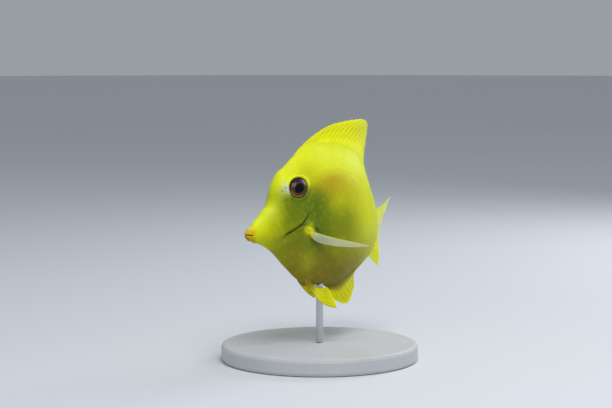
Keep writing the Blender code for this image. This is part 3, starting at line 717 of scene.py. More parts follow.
def cheek_coats(points, height, uneven):
    """Olive, mottled cheek, partly its own colour and partly painted shade; mustard painted shade under the
    throat; and the brown keel, partly its own colour and partly painted shade.
    """
    x, z = points[..., 0], points[..., 2]
    cheek = plateau(x, *CHEEK_X) * plateau(z, *CHEEK_Z)
    mottling = waves(points, *MOTTLING)
    under = 1 - ramp(height + 0.06 * uneven, *KEEL_HEIGHT)
    return [
        # Olive cheek: partly its own colour, partly painted shade
        (OLIVE, (0.90 + 0.10 * uneven) * cheek),
        (OLIVE, spot(x, z, *BEHIND_EYE_SPOT)),
        (MUSTARD, spot(x, z, *MUZZLE_SPOT)),
        (DARK * 2, 0.45 * np.maximum(mottling, 0) * cheek),
        (MUSTARD, 0.9 * np.maximum(-mottling, 0) * cheek),
        # Painted shade under the throat; the keel's brown is partly its own colour and partly painted shade
        (MUSTARD, 0.7 * band(x, *THROAT_X) * (1 - ramp(height, *THROAT_HEIGHT))),
        (BROWN, 0.85 * under * ramp(x, *KEEL_FROM) * (1 - 0.7 * ramp(x, *KEEL_TO))),
    ]


def mouth_coats(x, z, height):
    """Orange lips, painted shade under the snout and in the line between the lips, and the nostrils, with
    painted shade in their holes and the pale patch beside them.
    """
    lips = ramp(x, MOUTH_CORNER[0] + MOUTH_PAST, MOUTH_CORNER[0] - 0.008)
    coats = [
        (LIP, 0.8 * (1 - ramp(x, 0.018, 0.060)) * (1 - 0.5 * ramp(z, -0.03, -0.01))),
        # Painted shade under the snout, and in the line between the lips
        (BROWN, 0.6 * (1 - ramp(x, 0.03, 0.07)) * (1 - ramp(height, -1.0, -0.5))),
        (BROWN * 0.5, 0.85 * bump(mouth_gap(x, z), 0.0024) * lips),
        (NOSTRIL_PALE, 0.90 * bump(np.hypot(x - 0.206, (z - 0.158) * 0.55), 0.0115)),
        (NOSTRIL_PINK, 0.7 * bump(np.hypot(x - NOSTRILS[0][0], z - NOSTRILS[0][1]), 0.0085)),
    ]
    for nx, nz, radius in NOSTRILS:
        # Painted shade in the nostrils' holes
        coats.append((BROWN * 0.35, 0.8 * bump(np.hypot(x - nx, z - nz), 0.62 * radius)))
    return coats


def eye_rim_coats(points, side):
    """Painted highlight on the brow, olive painted shade under one eye and in the crease behind it, and
    painted shade in its socket.
    """
    x, z = points[..., 0], points[..., 2]
    r = eye_distance(points, side)
    low = 1 - ramp(z, EYE_Z - 0.03, EYE_Z + 0.02)
    return [
        # Painted highlight on the brow, olive painted shade below the eye and in the crease behind it, and
        # painted shade in the socket
        (BRIGHT, 0.9 * band(r, RIM_RADIUS, 0.008) * ramp(z, EYE_Z - 0.01, EYE_Z + 0.03)),
        (OLIVE, 0.70 * low * bump(r - 0.054, 0.016) * (x > EYE_X - 0.05)),
        (OLIVE, 0.45 * bump(r - 0.0655, 0.0035) * ramp(x, EYE_X - 0.01, EYE_X + 0.03)),
        (DARK * 0.5, 1 - ramp(r, SOCKET_RADIUS - 0.002, SOCKET_RADIUS + 0.0015)),
    ]


def gill_coats(x, z):
    """Painted shade in the gill opening and under the gill cover's edge, creases on the cheek, painted
    shade under the fold at the pectoral fin's root, and the orange lobe there with a painted highlight on
    its upper part.
    """
    behind = x - gill(z)
    tall = span(z, FLAP_SPAN)
    slit = bump(behind - 0.003, 0.0068 + 0.06 * np.clip(-z, 0, 0.05)) * span(z, SLIT_SPAN)
    creases = np.maximum(cheek_creases(behind, z), 0)
    shade = bump(z - fold_height(x) + 0.001, 0.0042)
    lobe = (1 - ramp(from_pectoral(x, z - 0.006), 0.010, 0.042)) * ramp(behind, 0.0, 0.02)
    return [
        # Painted shade in the gill opening and under the gill cover's edge
        (DARK, 0.9 * slit),
        (DARK * 2, 0.25 * bump(behind - 0.001, 0.003) * tall),
        (BRIGHT * 0.6, 0.16 * creases * bump(behind + 0.030, 0.022) * tall),
        # Painted shade under the fold, and a painted highlight on the lobe's upper part
        (DARK * 2, 0.75 * shade * along_fold(x, z)),
        (ORANGE, 0.35 * lobe),
        (LOBE, 0.8 * lobe * ramp(z, -0.060, -0.025)),
    ]


def skin_paint(points):
    """Colour of the skin at points of the straight fish."""
    x, z = points[..., 0], points[..., 2]
    high, low, wide, centre = section(x)
    height = (z - centre) / np.where(z > centre, high, low)
    uneven = waves(points, *TONE_WAVES)
    coats = body_coats(x, z, height, uneven) + cheek_coats(points, height, uneven)
    coats += mouth_coats(x, z, height)
    for side, word in SIDES:
        coats += eye_rim_coats(points, side)
    coats += gill_coats(x, z)
    sheath = np.hypot((x - np.mean(SPINE_X) - 0.008) / 0.036, (z - SPINE_Z - 0.006) / 0.027)
    coats += [
        (SHEATH, 0.9 * (1 - ramp(sheath, 0.8, 1.5))),
        # The end of the tail stalk takes the tail's lighter yellow, which is painted light
        (LIT_TAIL_WEB, ramp(x, 0.99, 1.03)),
        (BRIGHT, 0.18 * np.maximum(waves(points, *BRIGHT_WAVES), 0)),
    ]
    return painted(np.broadcast_to(LEMON, points.shape), *coats)


def store(mesh, name, kind, values):
    """Keeps values for each point on the mesh, for its material to read."""
    attribute = mesh.attributes.new(name, kind, "POINT")
    values = np.asarray(values, np.float32).reshape(len(mesh.vertices), -1)
    if kind == "FLOAT_COLOR":
        values = np.concatenate([values, np.ones((len(values), 1), np.float32)], 1)
    field = {"FLOAT_COLOR": "color", "FLOAT_VECTOR": "vector", "FLOAT": "value"}[kind]
    attribute.data.foreach_set(field, np.ascontiguousarray(values.ravel()))


def linked(name, data):
    """A new object in the scene."""
    obj = bpy.data.objects.new(name, data)
    bpy.context.scene.collection.objects.link(obj)
    return obj


def piece(name, straight, faces, mat, paint=None, clear=None):
    """A smooth mesh piece from points of the straight fish."""
    mesh = bpy.data.meshes.new(name)
    mesh.from_pydata(posed(straight).tolist(), [], faces)
    store(mesh, "fish", "FLOAT_VECTOR", straight)
    if paint is not None:
        store(mesh, "paint", "FLOAT_COLOR", paint)
    if clear is not None:
        store(mesh, "clear", "FLOAT", clear)
    mesh.shade_smooth()
    mesh.materials.append(mat)
    return linked(name, mesh)


def ring_faces(rings, around):
    """Quads between rings of points, each ring closed on itself."""
    i = np.arange(rings - 1)[:, None] * around
    k = np.arange(around)[None, :]
    n = (k + 1) % around
    return np.stack([i + k, i + n, i + around + n, i + around + k], 2).reshape(-1, 4).tolist()


def caps(rings, around):
    """The faces that close the first and the last ring."""
    last = (rings - 1) * around
    return [list(range(around))[::-1], list(range(last, last + around))]


def make_skin(mat):
    """One skin over head, trunk and tail stalk, from the snout to the root of the tail fin."""
    grid = base_grid()
    along = np.gradient(grid, axis=0)
    across = np.roll(grid, -1, 1) - np.roll(grid, 1, 1)
    normal = unit(np.cross(across, along))
    skin = grid + normal * relief(grid)[..., None]
    skin[..., 1] += tail_sway(skin[..., 0], skin[..., 2])
    rings, around = grid.shape[:2]
    points = skin.reshape(-1, 3)
    count = len(points)
    snout = np.array([[MOUTH_DEPTH, 0.0, section(0.0)[3]]])
    end = skin[-1].mean(0)[None, :]
    faces = ring_faces(rings, around)
    k = np.arange(around)
    faces += np.stack([np.full(around, count), (k + 1) % around, k], 1).tolist()
    last = (rings - 1) * around
    faces += np.stack([np.full(around, count + 1), last + k, last + (k + 1) % around], 1).tolist()
    places = np.concatenate([grid.reshape(-1, 3), snout, end])
    obj = piece("skin", np.concatenate([points, snout, end]), faces, mat, skin_paint(places))
    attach(obj, "root")
    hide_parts("head", "torso", "tail_base")


class Rays:
    """Columns and rows of a fin: columns run from its first ray to its last, rows from root to rim."""

    def __init__(self, rays, spines=0, rise_by=0.15):
        self.rays = rays
        self.rise_by = rise_by
        self.across = np.linspace(0, rays - 1, (rays - 1) * PER_RAY + 1)
        self.off = self.across - np.round(self.across)
        self.t = self.across / (rays - 1)
        self.out = np.linspace(0, 1, FIN_ROWS - 1)
        self.down = np.concatenate([[0.0], self.out])
        self.spiny = (np.round(self.across) < spines).astype(float)
        self.web = np.sin(np.pi * np.abs(self.off)) ** 2

    def notched(self, lengths, spiny=0.0):
        """Ray lengths with the web between them a little short, and each ray its own small bit off."""
        rng = np.random.default_rng(self.rays)
        own = np.interp(self.across, np.arange(self.rays), rng.uniform(*RAY_OWN_LENGTH, self.rays))
        return lengths * (1 + own - self.web * (NOTCH + spiny * (1 - self.t) ** 3))

    def ridge(self):
        """1 on the rays and 0 on the web; soft rays branch twice on their way to the rim."""
        off = self.off[:, None]
        down = self.down[None, :]
        first = 0.16 * ramp(down, 0.35, 0.80)
        second = 0.070 * ramp(down, 0.65, 1.0)
        wide = 0.13 - 0.055 * down
        soft = sum(bump(off - a * first - b * second, wide) for a in (-1, 1) for b in (-1, 1))
        soft = np.minimum(soft / (1 + 3 * bump(first, 0.05)), 1.0)
        spine = bump(off, 0.20 - 0.08 * down)
        return (soft + (spine - soft) * self.spiny[:, None]) * ramp(down, 0.02, self.rise_by)

    def half(self, fleshy=0.0, fleshy_to=0.35, scale=1.0, rise=RAY_RISE, rounded=0.0):
        """Half thickness: ridges on both faces, fleshy at the root if asked, and a thin rim."""
        down = self.down[None, :]
        web = WEB_THICK + (TIP_THICK - WEB_THICK) * down
        ridges = rise * (1 - 0.65 * down) * (1 + 0.4 * self.spiny[:, None]) * self.ridge()
        ridges = ridges * (1 - 0.6 * ramp(down, 0.8, 1.0))
        flesh = fleshy * (1 - rounded * (2 * self.t[:, None] - 1) ** 2)
        whole = web + ridges + flesh * (1 - ramp(down, 0, fleshy_to))
        ends = np.minimum(self.across, self.rays - 1 - self.across)[:, None] * 0.25
        rim = np.minimum(ends + 0.25, (1 - down) / 0.03 + 0.3)
        return whole / 2 * np.clip(rim, 0.3, 1) * scale

    def grid(self, roots, ways, lengths, sink, bow=0.0):
        """Points along the rays: the first row lies under the skin, moved there by the sink."""
        reach = self.out[None, :] * lengths[:, None]
        points = roots[:, None, :] + ways[:, None, :] * reach[..., None]
        ahead = np.stack([-ways[:, 2], 0 * ways[:, 0], ways[:, 0]], 1)
        bowed = bow * lengths[:, None] * np.sin(np.pi * self.out)
        points = points + ahead[:, None, :] * bowed[..., None]
        return np.concatenate([(roots + sink)[:, None, :], points], 1)


def fin_piece(name, node, grid, half, mat, paint, clear=None):
    """A closed fin with its ridges in both faces."""
    normal = unit(np.cross(np.gradient(grid, axis=0), np.gradient(grid, axis=1)))
    one = (grid + normal * half[..., None]).reshape(-1, 3)
    two = (grid - normal * half[..., None]).reshape(-1, 3)
    columns, rows = half.shape
    n = columns * rows
    i = np.arange(columns - 1)[:, None] * rows
    j = np.arange(rows - 1)[None, :]
    a = (i + j).ravel()
    b = a + rows
    faces = np.stack([a, b, b + 1, a + 1], 1).tolist()
    faces += np.stack([n + a, n + a + 1, n + b + 1, n + b], 1).tolist()
    rim = [k * rows for k in range(columns)] + [(columns - 1) * rows + k for k in range(1, rows)]
    rim += [k * rows + rows - 1 for k in range(columns - 2, -1, -1)] + list(range(rows - 2, 0, -1))
    faces += [(p, n + p, n + q, q) for p, q in zip(rim, rim[1:] + rim[:1])]
    both = np.concatenate([paint.reshape(-1, 3)] * 2)
    if clear is not None:
        clear = np.concatenate([clear.ravel()] * 2)
    obj = piece(name, np.concatenate([one, two]), faces, mat, both, clear)
    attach(obj, "root")
    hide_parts(node)


def fin_paint(rays, grid, web, ray, rim, skin_until, ray_share):
    """Colour of a fin: web, darker rays, a bright rim, and the skin's own colour at its root."""
    down = rays.down[None, :]
    blotch = waves(grid, *FIN_WAVES)
    shown = ramp(down, 0.10, 0.40) * (1 - 0.75 * ramp(down, 0.72, 0.96))
    paint = painted(
        np.broadcast_to(web, grid.shape),
        (ray, ray_share * (1 + 0.27 * blotch) * rays.ridge() ** 2 * shown),
        (rim, 0.75 * ramp(down, 0.85, 1.0)),
    )
    if skin_until > 0:
        root = np.repeat(grid[:, 1:2, :], grid.shape[1], 1)
        paint = painted(paint, (skin_paint(root), 1 - ramp(down, 0.05, skin_until)))
    return paint


def make_median_fin(name, base, count, line, angle, length, lean, lean_from, spines, bow, paint, mat):
    """Dorsal or anal fin, whose rear part leans to the fish's right."""
    rays = Rays(count, spines, rise_by=0.40)
    t = rays.t
    x = base[0] + (base[1] - base[0]) * t
    a = np.radians(angle(t))
    roots = np.stack([x, 0 * x, line(x)], 1)
    ways = np.stack([np.cos(a), 0 * a, np.sin(a)], 1)
    grid = rays.grid(roots, ways, rays.notched(length(t), SPINY_NOTCH), -ways * ROOT_SINK, bow)
    lean_over = np.clip((t - lean_from) / LEAN_OVER, 0, 1) ** LEAN_POWER
    grid[..., 1] += lean * lean_over[:, None] * rays.down**1.3
    ripple = np.sin(2 * np.pi * (3.1 * t[:, None] + 0.35 * rays.down) + 1.0) * ramp(t, 0.1, 0.4)[:, None]
    grid[..., 1] += RIPPLE * ripple * ramp(rays.down, 0.3, 1.0)
    half = rays.half(fleshy=1.3 * MM)
    paint = fin_paint(rays, grid, *paint)
    fin_piece(name + "_skin", name, grid, half, mat, paint)


def make_tail_fin(mat):
    """The tail fin, spread a little, tilted, turned and cupped as the tail swings."""
    rays = Rays(TAIL_RAYS, rise_by=0.5)
    t = 2 * rays.t - 1
    start = BODY_END + 0.3 * MM
    tall = float(top(BODY_END) - belly(BODY_END)) / 2 - 0.3 * MM
    a = np.radians(t * TAIL_SPREAD + TAIL_TILT)
    reach = rays.notched(TAIL_LENGTH + TAIL_FORK * t**2) / np.cos(a)
    reach = reach * (1 - 0.035 * ramp(np.abs(t), 0.8, 1.0))
    roots = np.stack([np.full(len(t), start), 0 * t, TAIL_MIDDLE + t * tall], 1)
    ways = np.stack([np.cos(a), 0 * a, np.sin(a)], 1)
    grid = rays.grid(roots, ways, reach, np.array([-0.03, 0, 0]))
    grid[:, 0, 2] = TAIL_MIDDLE + t * tall * 0.7
    grid[..., 1] += tail_sway(grid[..., 0], grid[..., 2])
    down = rays.down[None, :]
    grid[..., 1] += TAIL_CUP * (1 - t**2)[:, None] * down**1.5
    grid[..., 1] += TAIL_BOW * np.clip(-t, 0, 1)[:, None] * np.sin(np.pi * down)
    grid[..., 1] -= TAIL_FLARE * ramp(-t, 0.1, 0.7)[:, None] * down**2
    ripple = np.sin(2 * np.pi * (2.3 * t[:, None] + 0.4 * down))
    grid[..., 1] += TAIL_RIPPLE * ripple * ramp(down, 0.3, 1.0)
    half = rays.half(fleshy=0.35 * MM, fleshy_to=0.25, rise=0.6 * RAY_RISE)
    paint = fin_paint(rays, grid, *TAIL_PAINT)
    # Lime painted light on the upper lobe, as of light through the backlit tail
    paint = painted(paint, (BACKLIT_TAIL_LIME, 0.6 * ramp(t, -0.1, 0.6)[:, None] * ramp(down, 0.1, 0.5)))
    fin_piece("caudal_fin_skin", "caudal_fin", grid, half, mat, paint)


def make_pelvic_fins(mat):
    """The pair under the throat, which hang back and a little outwards; the left one is longer."""
    rays = Rays(PELVIC_RAYS, spines=1)
    t = rays.t
    x = PELVIC_X + PELVIC_CHORD * t
    for side, word in SIDES:
        a = np.radians(PELVIC_ANGLE[word] + PELVIC_SPREAD * (t - 0.5))
        roots = np.stack([x, np.full(len(t), side * PELVIC_APART), belly(x) + 0.006], 1)
        outward = side * np.abs(np.sin(a)) * np.tan(np.radians(PELVIC_OUT))
        ways = unit(np.stack([np.cos(a), outward, np.sin(a)], 1))
        lengths = rays.notched(PELVIC_LENGTH[word] * (1 - 0.55 * t))
        grid = rays.grid(roots, ways, lengths, np.array([0, 0, PELVIC_SINK]))
        grid[:, 1:, 2] -= PELVIC_BOW[word] * (1 - 0.6 * t)[:, None] * np.sin(np.pi * rays.out)
        half = rays.half(fleshy=0.5 * MM, fleshy_to=0.3, rise=0.6 * RAY_RISE)
        paint = fin_paint(rays, grid, *PELVIC_PAINT)
        paint = painted(paint, (BROWN, 0.55 * bump(t[:, None], 0.05)))
        fin_piece("pelvic_fin_skin_" + word, "pelvic_fin_" + word, grid, half, mat, paint)


def make_pectoral_fins(mat):
    """Thin, nearly clear blades with a fleshy yellow root and a yellow front edge."""
    rays = Rays(PECTORAL_RAYS, spines=1)
    t = rays.t
    x = PECTORAL_X[0] + (PECTORAL_X[1] - PECTORAL_X[0]) * t
    z = PECTORAL_Z[0] + (PECTORAL_Z[1] - PECTORAL_Z[0]) * t
    a = np.radians(PECTORAL_UP - PECTORAL_DOWN * t)
    out = np.radians(PECTORAL_OUT - PECTORAL_FAN * t)
    down = rays.down[None, :]
    across = t[:, None]
    for side, word in SIDES:
        roots = np.stack([x, side * side_y(x, z), z], 1)
        ways = np.stack([np.cos(out) * np.cos(a), side * np.sin(out) * np.cos(a), np.sin(a)], 1)
        lengths = rays.notched(PECTORAL_LENGTH * (1 - 0.55 * t**1.3))
        grid = rays.grid(roots, ways, lengths, -ways * PECTORAL_SINK)
        grid[:, 1:, 2] -= PECTORAL_BOW * np.sin(np.pi * rays.out**PECTORAL_BOW_SKEW)
        half = rays.half(fleshy=1.5 * MM, fleshy_to=0.34, scale=0.9, rounded=0.75)
        paint = fin_paint(rays, grid, *PECTORAL_PAINT)
        root = 1 - ramp(down + 0.10 * across, 0.08, 0.20)
        paint = painted(paint, (LOBE, root), (LEMON, 0.65 * bump(across, 0.055)))
        clear = 0.52 + 0.25 * rays.ridge() + 0.4 * bump(across, 0.05) + 0.25 * (1 - down)
        clear = np.clip(clear + root, 0, 1)
        name, node = "pectoral_fin_skin_" + word, "pectoral_fin_" + word
        fin_piece(name, node, grid, half, mat, paint, clear)


def eye_paint(a, b):
    """Colour of the eye at a place forward and up from the middle of its front."""
    edge = oval(a, b, EYE_LONG)
    a = a - IRIS_SHIFT[0]
    b = b - IRIS_SHIFT[1]
    r = oval(a, b, EYE_LONG)
    around = np.arctan2(a, b)
    pupil = oval(a, b, PUPIL_LONG) / PUPIL
    upper = bump(around + 0.1, 0.75)
    gold = ramp(np.cos(around - 2.8), 0.30, 0.95)
    rear = ramp(-np.sin(around), 0.35, 0.95)
    fibres = 0.5 + 0.5 * np.sin(around * 46 + 2.5 * np.sin(around * 7) + r * 500)
    return painted(
        np.broadcast_to(IRIS_BROWN, r.shape + (3,)),
        (IRIS_RED, 0.5 * band(r, *RED_RING) * np.abs(np.sin(around))),
        # Violet painted reflection on the upper iris
        (IRIS_VIOLET_REFLECTION, 0.8 * upper * band(r, *VIOLET_REFLECTION_RING)),
        (EYE_EDGE, 0.55 * fibres),
        # The iris's gold on its lower side: partly its own colour, partly painted light from above
        (IRIS_GOLD, (0.25 + 0.75 * fibres) * gold * band(r, *GOLD_RING)),
        (IRIS_RING, 0.60 * band(pupil, *PUPIL_RING)),
        (PUPIL_BLACK, 1 - ramp(pupil, *PUPIL_EDGE)),
        (IRIS_OLIVE, 0.55 * rear * bump(edge - IRIS, 0.0035)),
        # Painted shade on the eyeball's edge, in the gap under the socket's edge
        (EYE_EDGE, ramp(edge, IRIS + 0.0005, IRIS + 0.0030) * (1 - 0.3 * rear)),
    )


def make_eyes(mat):
    """Flattened eyeballs with a bulging front, a ringed iris and an egg-shaped pupil."""
    polar = np.linspace(POLE_GAP, np.pi - POLE_GAP, EYE_RINGS)[:, None]
    angle = np.linspace(0, 2 * np.pi, EYE_AROUND, endpoint=False)[None, :]
    wide = np.broadcast_to(np.sin(polar), (EYE_RINGS, EYE_AROUND))
    s, c = sin_cos(EYE_SLANT)
    r = wide * BALL_RADIUS
    across = r * np.sin(angle) / EYE_LONG
    lengthwise = r * np.cos(angle) * EYE_LONG
    a = across * c - lengthwise * s
    b = lengthwise * c + across * s
    height = BALL_THICK * np.cos(polar) + np.zeros_like(r)
    for side, word in SIDES:
        place, n, forward, up = eye_axes(side)
        centre = place - n * BALL_DEPTH
        ball = centre + a[..., None] * forward + b[..., None] * up + height[..., None] * n
        paint = eye_paint(a, b)
        points = ball.reshape(-1, 3)
        faces = ring_faces(EYE_RINGS, EYE_AROUND) + caps(EYE_RINGS, EYE_AROUND)
        if side < 0:
            faces = [f[::-1] for f in faces]
        obj = piece("eyeball_" + word, points, faces, mat, paint.reshape(-1, 3))
        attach(obj, "root")
        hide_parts("eye_" + word)


def make_blades(mat):
    """The sharp white blades, folded forward into their grooves."""
    count, turns = 40, 28
    t = np.linspace(0, 1, count)
    x = SPINE_X[1] + (SPINE_X[0] - SPINE_X[1]) * t
    swell = np.sqrt(np.clip(t / 0.10, 0, 1)) * (1 - t**2.2)
    a = np.linspace(0, 2 * np.pi, turns, endpoint=False)
    for side, word in SIDES:
        lift = side_y(x, SPINE_Z) + SPINE_PROUD * np.sin(np.pi * t)
        thick = swell[:, None] + SPINE_TIP
        y = lift[:, None] + SPINE_TALL * SPINE_SHARE * thick * np.cos(a)
        z = SPINE_Z + 0.003 * t[:, None] ** 2 + SPINE_DEEP * SPINE_SHARE * thick * np.sin(a)
        points = np.stack([np.broadcast_to(x[:, None], y.shape), side * y, z], 2).reshape(-1, 3)
        faces = ring_faces(count, turns) + caps(count, turns)
        if side > 0:
            faces = [f[::-1] for f in faces]
        obj = piece("blade_" + word, points, faces, mat)
        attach(obj, "root")
        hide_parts("caudal_spine_" + word)


def new_material(name):
    mat = bpy.data.materials.new(name)
    mat.use_nodes = True
    return mat, mat.node_tree, mat.node_tree.nodes["Principled BSDF"]


def put(node, values):
    """Sets a node's sockets to numbers or links them to other nodes' outputs."""
    for name, value in values.items():
        if isinstance(value, bpy.types.NodeSocket):
            node.id_data.links.new(value, node.inputs[name])
        else:
            node.inputs[name].default_value = value


def add(tree, kind, values=None, **settings):
    node = tree.nodes.new("ShaderNode" + kind)
    for name, value in settings.items():
        setattr(node, name, value)
    put(node, values or {})
    return node


def read(tree, name):
    return add(tree, "Attribute", attribute_name=name)


def math(tree, operation, a, b):
    node = add(tree, "Math", operation=operation)
    put(node, {0: a, 1: b})
    return node.outputs[0]


def noise(tree, place, scale, detail, roughness=0.5):
    """A fractal unevenness about 0.5."""
    values = {"Vector": place, "Scale": scale, "Detail": detail, "Roughness": roughness}
    return add(tree, "TexNoise", values).outputs["Fac"]


def spread(tree, factor, low, high):
    """A number that moves from low to high with the factor."""
    return add(tree, "MapRange", {"Value": factor, "To Min": low, "To Max": high}).outputs[0]


def varied(tree, colour, amount, factor):
    """The colour made lighter and darker by a factor that swings about 0.5."""
    scaled = add(tree, "VectorMath", {0: colour}, operation="SCALE")
    put(scaled, {"Scale": spread(tree, factor, 1 - amount, 1 + amount)})
    return scaled.outputs[0]


def two_tone(tree, factor, one, other):
    return add(tree, "MixRGB", {"Fac": factor, "Color1": one, "Color2": other}).outputs[0]


def raised(tree, height, distance, strength):
    """A bump of the given height in metres."""
    return add(tree, "Bump", {"Height": height, "Distance": distance, "Strength": strength}).outputs[0]


def skin_material():
    """Satin, faintly translucent skin with minute rough scales."""
    mat, tree, shader = new_material("tang_skin")
    place = read(tree, "fish").outputs["Vector"]
    colour = read(tree, "paint").outputs["Color"]
    soft = noise(tree, place, scale=26.0, detail=5.0, roughness=0.6)
    fine = noise(tree, place, scale=190.0, detail=3.0)
    scales = add(tree, "TexVoronoi", {"Vector": place, "Scale": 210.0, "Randomness": 0.75})
    scales = scales.outputs["Distance"]
    colour = varied(tree, colour, 0.10, soft)
    colour = varied(tree, colour, 0.12, fine)
    colour = varied(tree, colour, 0.07, math(tree, "SUBTRACT", 1.0, scales))
    height = math(tree, "ADD", math(tree, "MULTIPLY", scales, -0.7), fine)
    put(shader, {
        "Base Color": colour, "Roughness": spread(tree, soft, 0.38, 0.56),
        "Normal": raised(tree, height, distance=0.00006, strength=0.55),
        "Subsurface Weight": 0.20, "Subsurface Radius": (1.0, 0.7, 0.12), "Subsurface Scale": 0.0011,
        "Specular IOR Level": 0.14, "Coat Weight": 0.03, "Coat Roughness": 0.22,
    })
    return mat


def fin_material(name, thin, clear=False):
    """Thin skin over rays, which lets some light through."""
    mat, tree, shader = new_material(name)
    place = read(tree, "fish").outputs["Vector"]
    colour = read(tree, "paint").outputs["Color"]
    grain = noise(tree, place, scale=120.0, detail=4.0)
    streak = noise(tree, place, scale=34.0, detail=5.0, roughness=0.62)
    colour = varied(tree, colour, 0.12, streak)
    colour = varied(tree, colour, 0.08, grain)
    put(shader, {
        "Base Color": colour, "Roughness": spread(tree, streak, 0.34, 0.52),
        "Normal": raised(tree, grain, distance=0.00005, strength=0.45),
        "Subsurface Weight": thin, "Subsurface Radius": (1.0, 0.85, 0.2), "Subsurface Scale": 0.0012,
        "Specular IOR Level": 0.18,
    })
    if clear:
        put(shader, {"Alpha": read(tree, "clear").outputs["Fac"]})
    return mat


def eye_material():
    """Wet eye: the painted iris under a clear glossy front."""
    mat, tree, shader = new_material("tang_eye")
    fleck = noise(tree, read(tree, "fish").outputs["Vector"], scale=420.0, detail=4.0)
    put(shader, {
        "Base Color": varied(tree, read(tree, "paint").outputs["Color"], 0.35, fleck),
        "Roughness": 0.30, "Specular IOR Level": 0.08,
        "Coat Weight": 0.35, "Coat Roughness": 0.04, "Coat IOR": 1.33,
    })
    return mat


def blade_material():
    """Hard white horn with faint cream grain."""
    mat, tree, shader = new_material("tang_blade")
    grain = noise(tree, read(tree, "fish").outputs["Vector"], scale=260.0, detail=3.0)
    colour = two_tone(tree, grain, (0.92, 0.91, 0.86, 1), (0.84, 0.82, 0.74, 1))
    put(shader, {"Base Color": colour, "Roughness": 0.26, "Coat Weight": 0.4})
    return mat


def base_material():
    """Satin pale grey paint with a fine orange-peel surface."""
    mat, tree, shader = new_material("stand_paint")
    place = add(tree, "TexCoord").outputs["Object"]
    peel = noise(tree, place, scale=1400.0, detail=2.0)
    cloud = noise(tree, place, scale=60.0, detail=4.0)
    put(shader, {
        "Base Color": two_tone(tree, cloud, (0.50, 0.51, 0.52, 1), (0.60, 0.61, 0.62, 1)),
        "Roughness": spread(tree, cloud, 0.38, 0.52),
        "Normal": raised(tree, peel, distance=0.00004, strength=0.4),
    })
    return mat


def rod_material():
    """Steel brushed round the rod."""
    mat, tree, shader = new_material("rod_brushed")
    place = add(tree, "TexCoord").outputs["Object"]
    stretched = add(tree, "Mapping", {"Vector": place, "Scale": (300, 300, 9000)})
    lines = noise(tree, stretched.outputs[0], scale=1.0, detail=3.0)
    put(shader, {
        "Base Color": (0.60, 0.60, 0.62, 1), "Metallic": 1.0,
        "Roughness": spread(tree, lines, 0.22, 0.42),
        "Normal": raised(tree, lines, distance=0.00001, strength=0.5),
    })
    return mat


def make_floor():
    """A wide pale floor, faintly clouded."""
    mat, tree, shader = new_material("floor_pale")
    cloud = noise(tree, add(tree, "TexCoord").outputs["Object"], scale=3.0, detail=3.0)
    colour = two_tone(tree, cloud, (0.66, 0.68, 0.71, 1), (0.70, 0.72, 0.75, 1))
    put(shader, {"Base Color": colour, "Roughness": 0.75})
    bpy.ops.mesh.primitive_circle_add(vertices=128, radius=4.0, fill_type="NGON")
    floor = bpy.context.object
    floor.name = "floor"
    floor.data.materials.append(mat)


def aimed(obj, place, target):
    """Sets an object at a place, with its -Z axis towards the target."""
    way = unit(np.array(target, float) - np.array(place, float))
    right = unit(np.cross(way, (0, 0, 1)))
    up = np.cross(right, way)
    matrix = np.eye(4)
    matrix[:3, 0], matrix[:3, 1], matrix[:3, 2], matrix[:3, 3] = right, up, -way, place
    obj.matrix_world = Matrix(matrix.tolist())


def make_light(name, place, size, power, colour):
    data = bpy.data.lights.new(name, "AREA")
    data.size = size
    data.energy = power
    data.color = colour
    aimed(linked(name, data), place, LIGHT_TARGET)


# Light on the middle of the fish, and camera: the photo's viewing angle, with the fish at the same
# place and size in its frame
LIGHT_TARGET = (0.0, 0.0, 0.055)
WORLD_COLOUR = (0.76, 0.82, 0.88, 1)
WORLD_STRENGTH = 0.42
CAMERA_AZIMUTH = -44.807
CAMERA_ELEVATION = 6.0
CAMERA_DISTANCE = 8 * LENGTH
FRAME_WIDTH, FRAME_HEIGHT = 612, 408
PIXELS_PER_LENGTH = 224.888
PIVOT_PIXEL = (319.265, 218.43)
SENSOR = 36.0


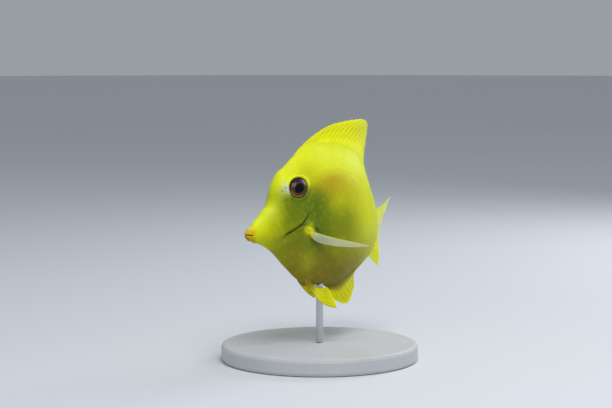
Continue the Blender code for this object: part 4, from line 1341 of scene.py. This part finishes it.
def make_camera():
    target = posed(PIVOT[None, :])[0]
    a = np.radians(CAMERA_AZIMUTH)
    e = np.radians(CAMERA_ELEVATION)
    back = np.array([np.sin(a) * np.cos(e), -np.cos(a) * np.cos(e), np.sin(e)])
    data = bpy.data.cameras.new("camera")
    data.sensor_width = SENSOR
    data.lens = PIXELS_PER_LENGTH * CAMERA_DISTANCE / LENGTH / FRAME_WIDTH * SENSOR
    data.shift_x = (FRAME_WIDTH / 2 - PIVOT_PIXEL[0]) / FRAME_WIDTH
    data.shift_y = (PIVOT_PIXEL[1] - FRAME_HEIGHT / 2) / FRAME_WIDTH
    data.clip_start = 0.01
    camera = linked("camera", data)
    aimed(camera, target + back * CAMERA_DISTANCE, target)
    bpy.context.scene.camera = camera


def make_world():
    world = bpy.data.worlds.new("studio")
    world.use_nodes = True
    background = world.node_tree.nodes["Background"]
    background.inputs["Color"].default_value = WORLD_COLOUR
    background.inputs["Strength"].default_value = WORLD_STRENGTH
    bpy.context.scene.world = world


make_skin(skin_material())
fin_mat = fin_material("tang_fin", 0.55)
make_median_fin(
    "dorsal_fin", DORSAL_BASE, DORSAL_RAYS, top, dorsal_angle, dorsal_length, DORSAL_LEAN,
    DORSAL_LEAN_FROM, DORSAL_SPINES, DORSAL_BOW, DORSAL_PAINT, fin_mat,
)
make_median_fin(
    "anal_fin", ANAL_BASE, ANAL_RAYS, belly, anal_angle, anal_length, ANAL_LEAN,
    ANAL_LEAN_FROM, ANAL_SPINES, ANAL_BOW, ANAL_PAINT, fin_mat,
)
make_tail_fin(fin_mat)
make_pelvic_fins(fin_mat)
make_pectoral_fins(fin_material("tang_pectoral", 0.35, clear=True))
make_eyes(eye_material())
make_blades(blade_material())
nodes["stand_base"].data.materials[0] = base_material()
nodes["stand_rod"].data.materials[0] = rod_material()

make_floor()
make_world()
bpy.context.scene.view_settings.view_transform = "Standard"
make_light("key", (-0.14, -0.26, 0.58), size=0.34, power=2.7, colour=(0.98, 0.98, 1.0))
make_light("back", (0.50, 0.02, 0.30), size=0.25, power=1.1, colour=(0.92, 0.96, 1.0))
make_camera()
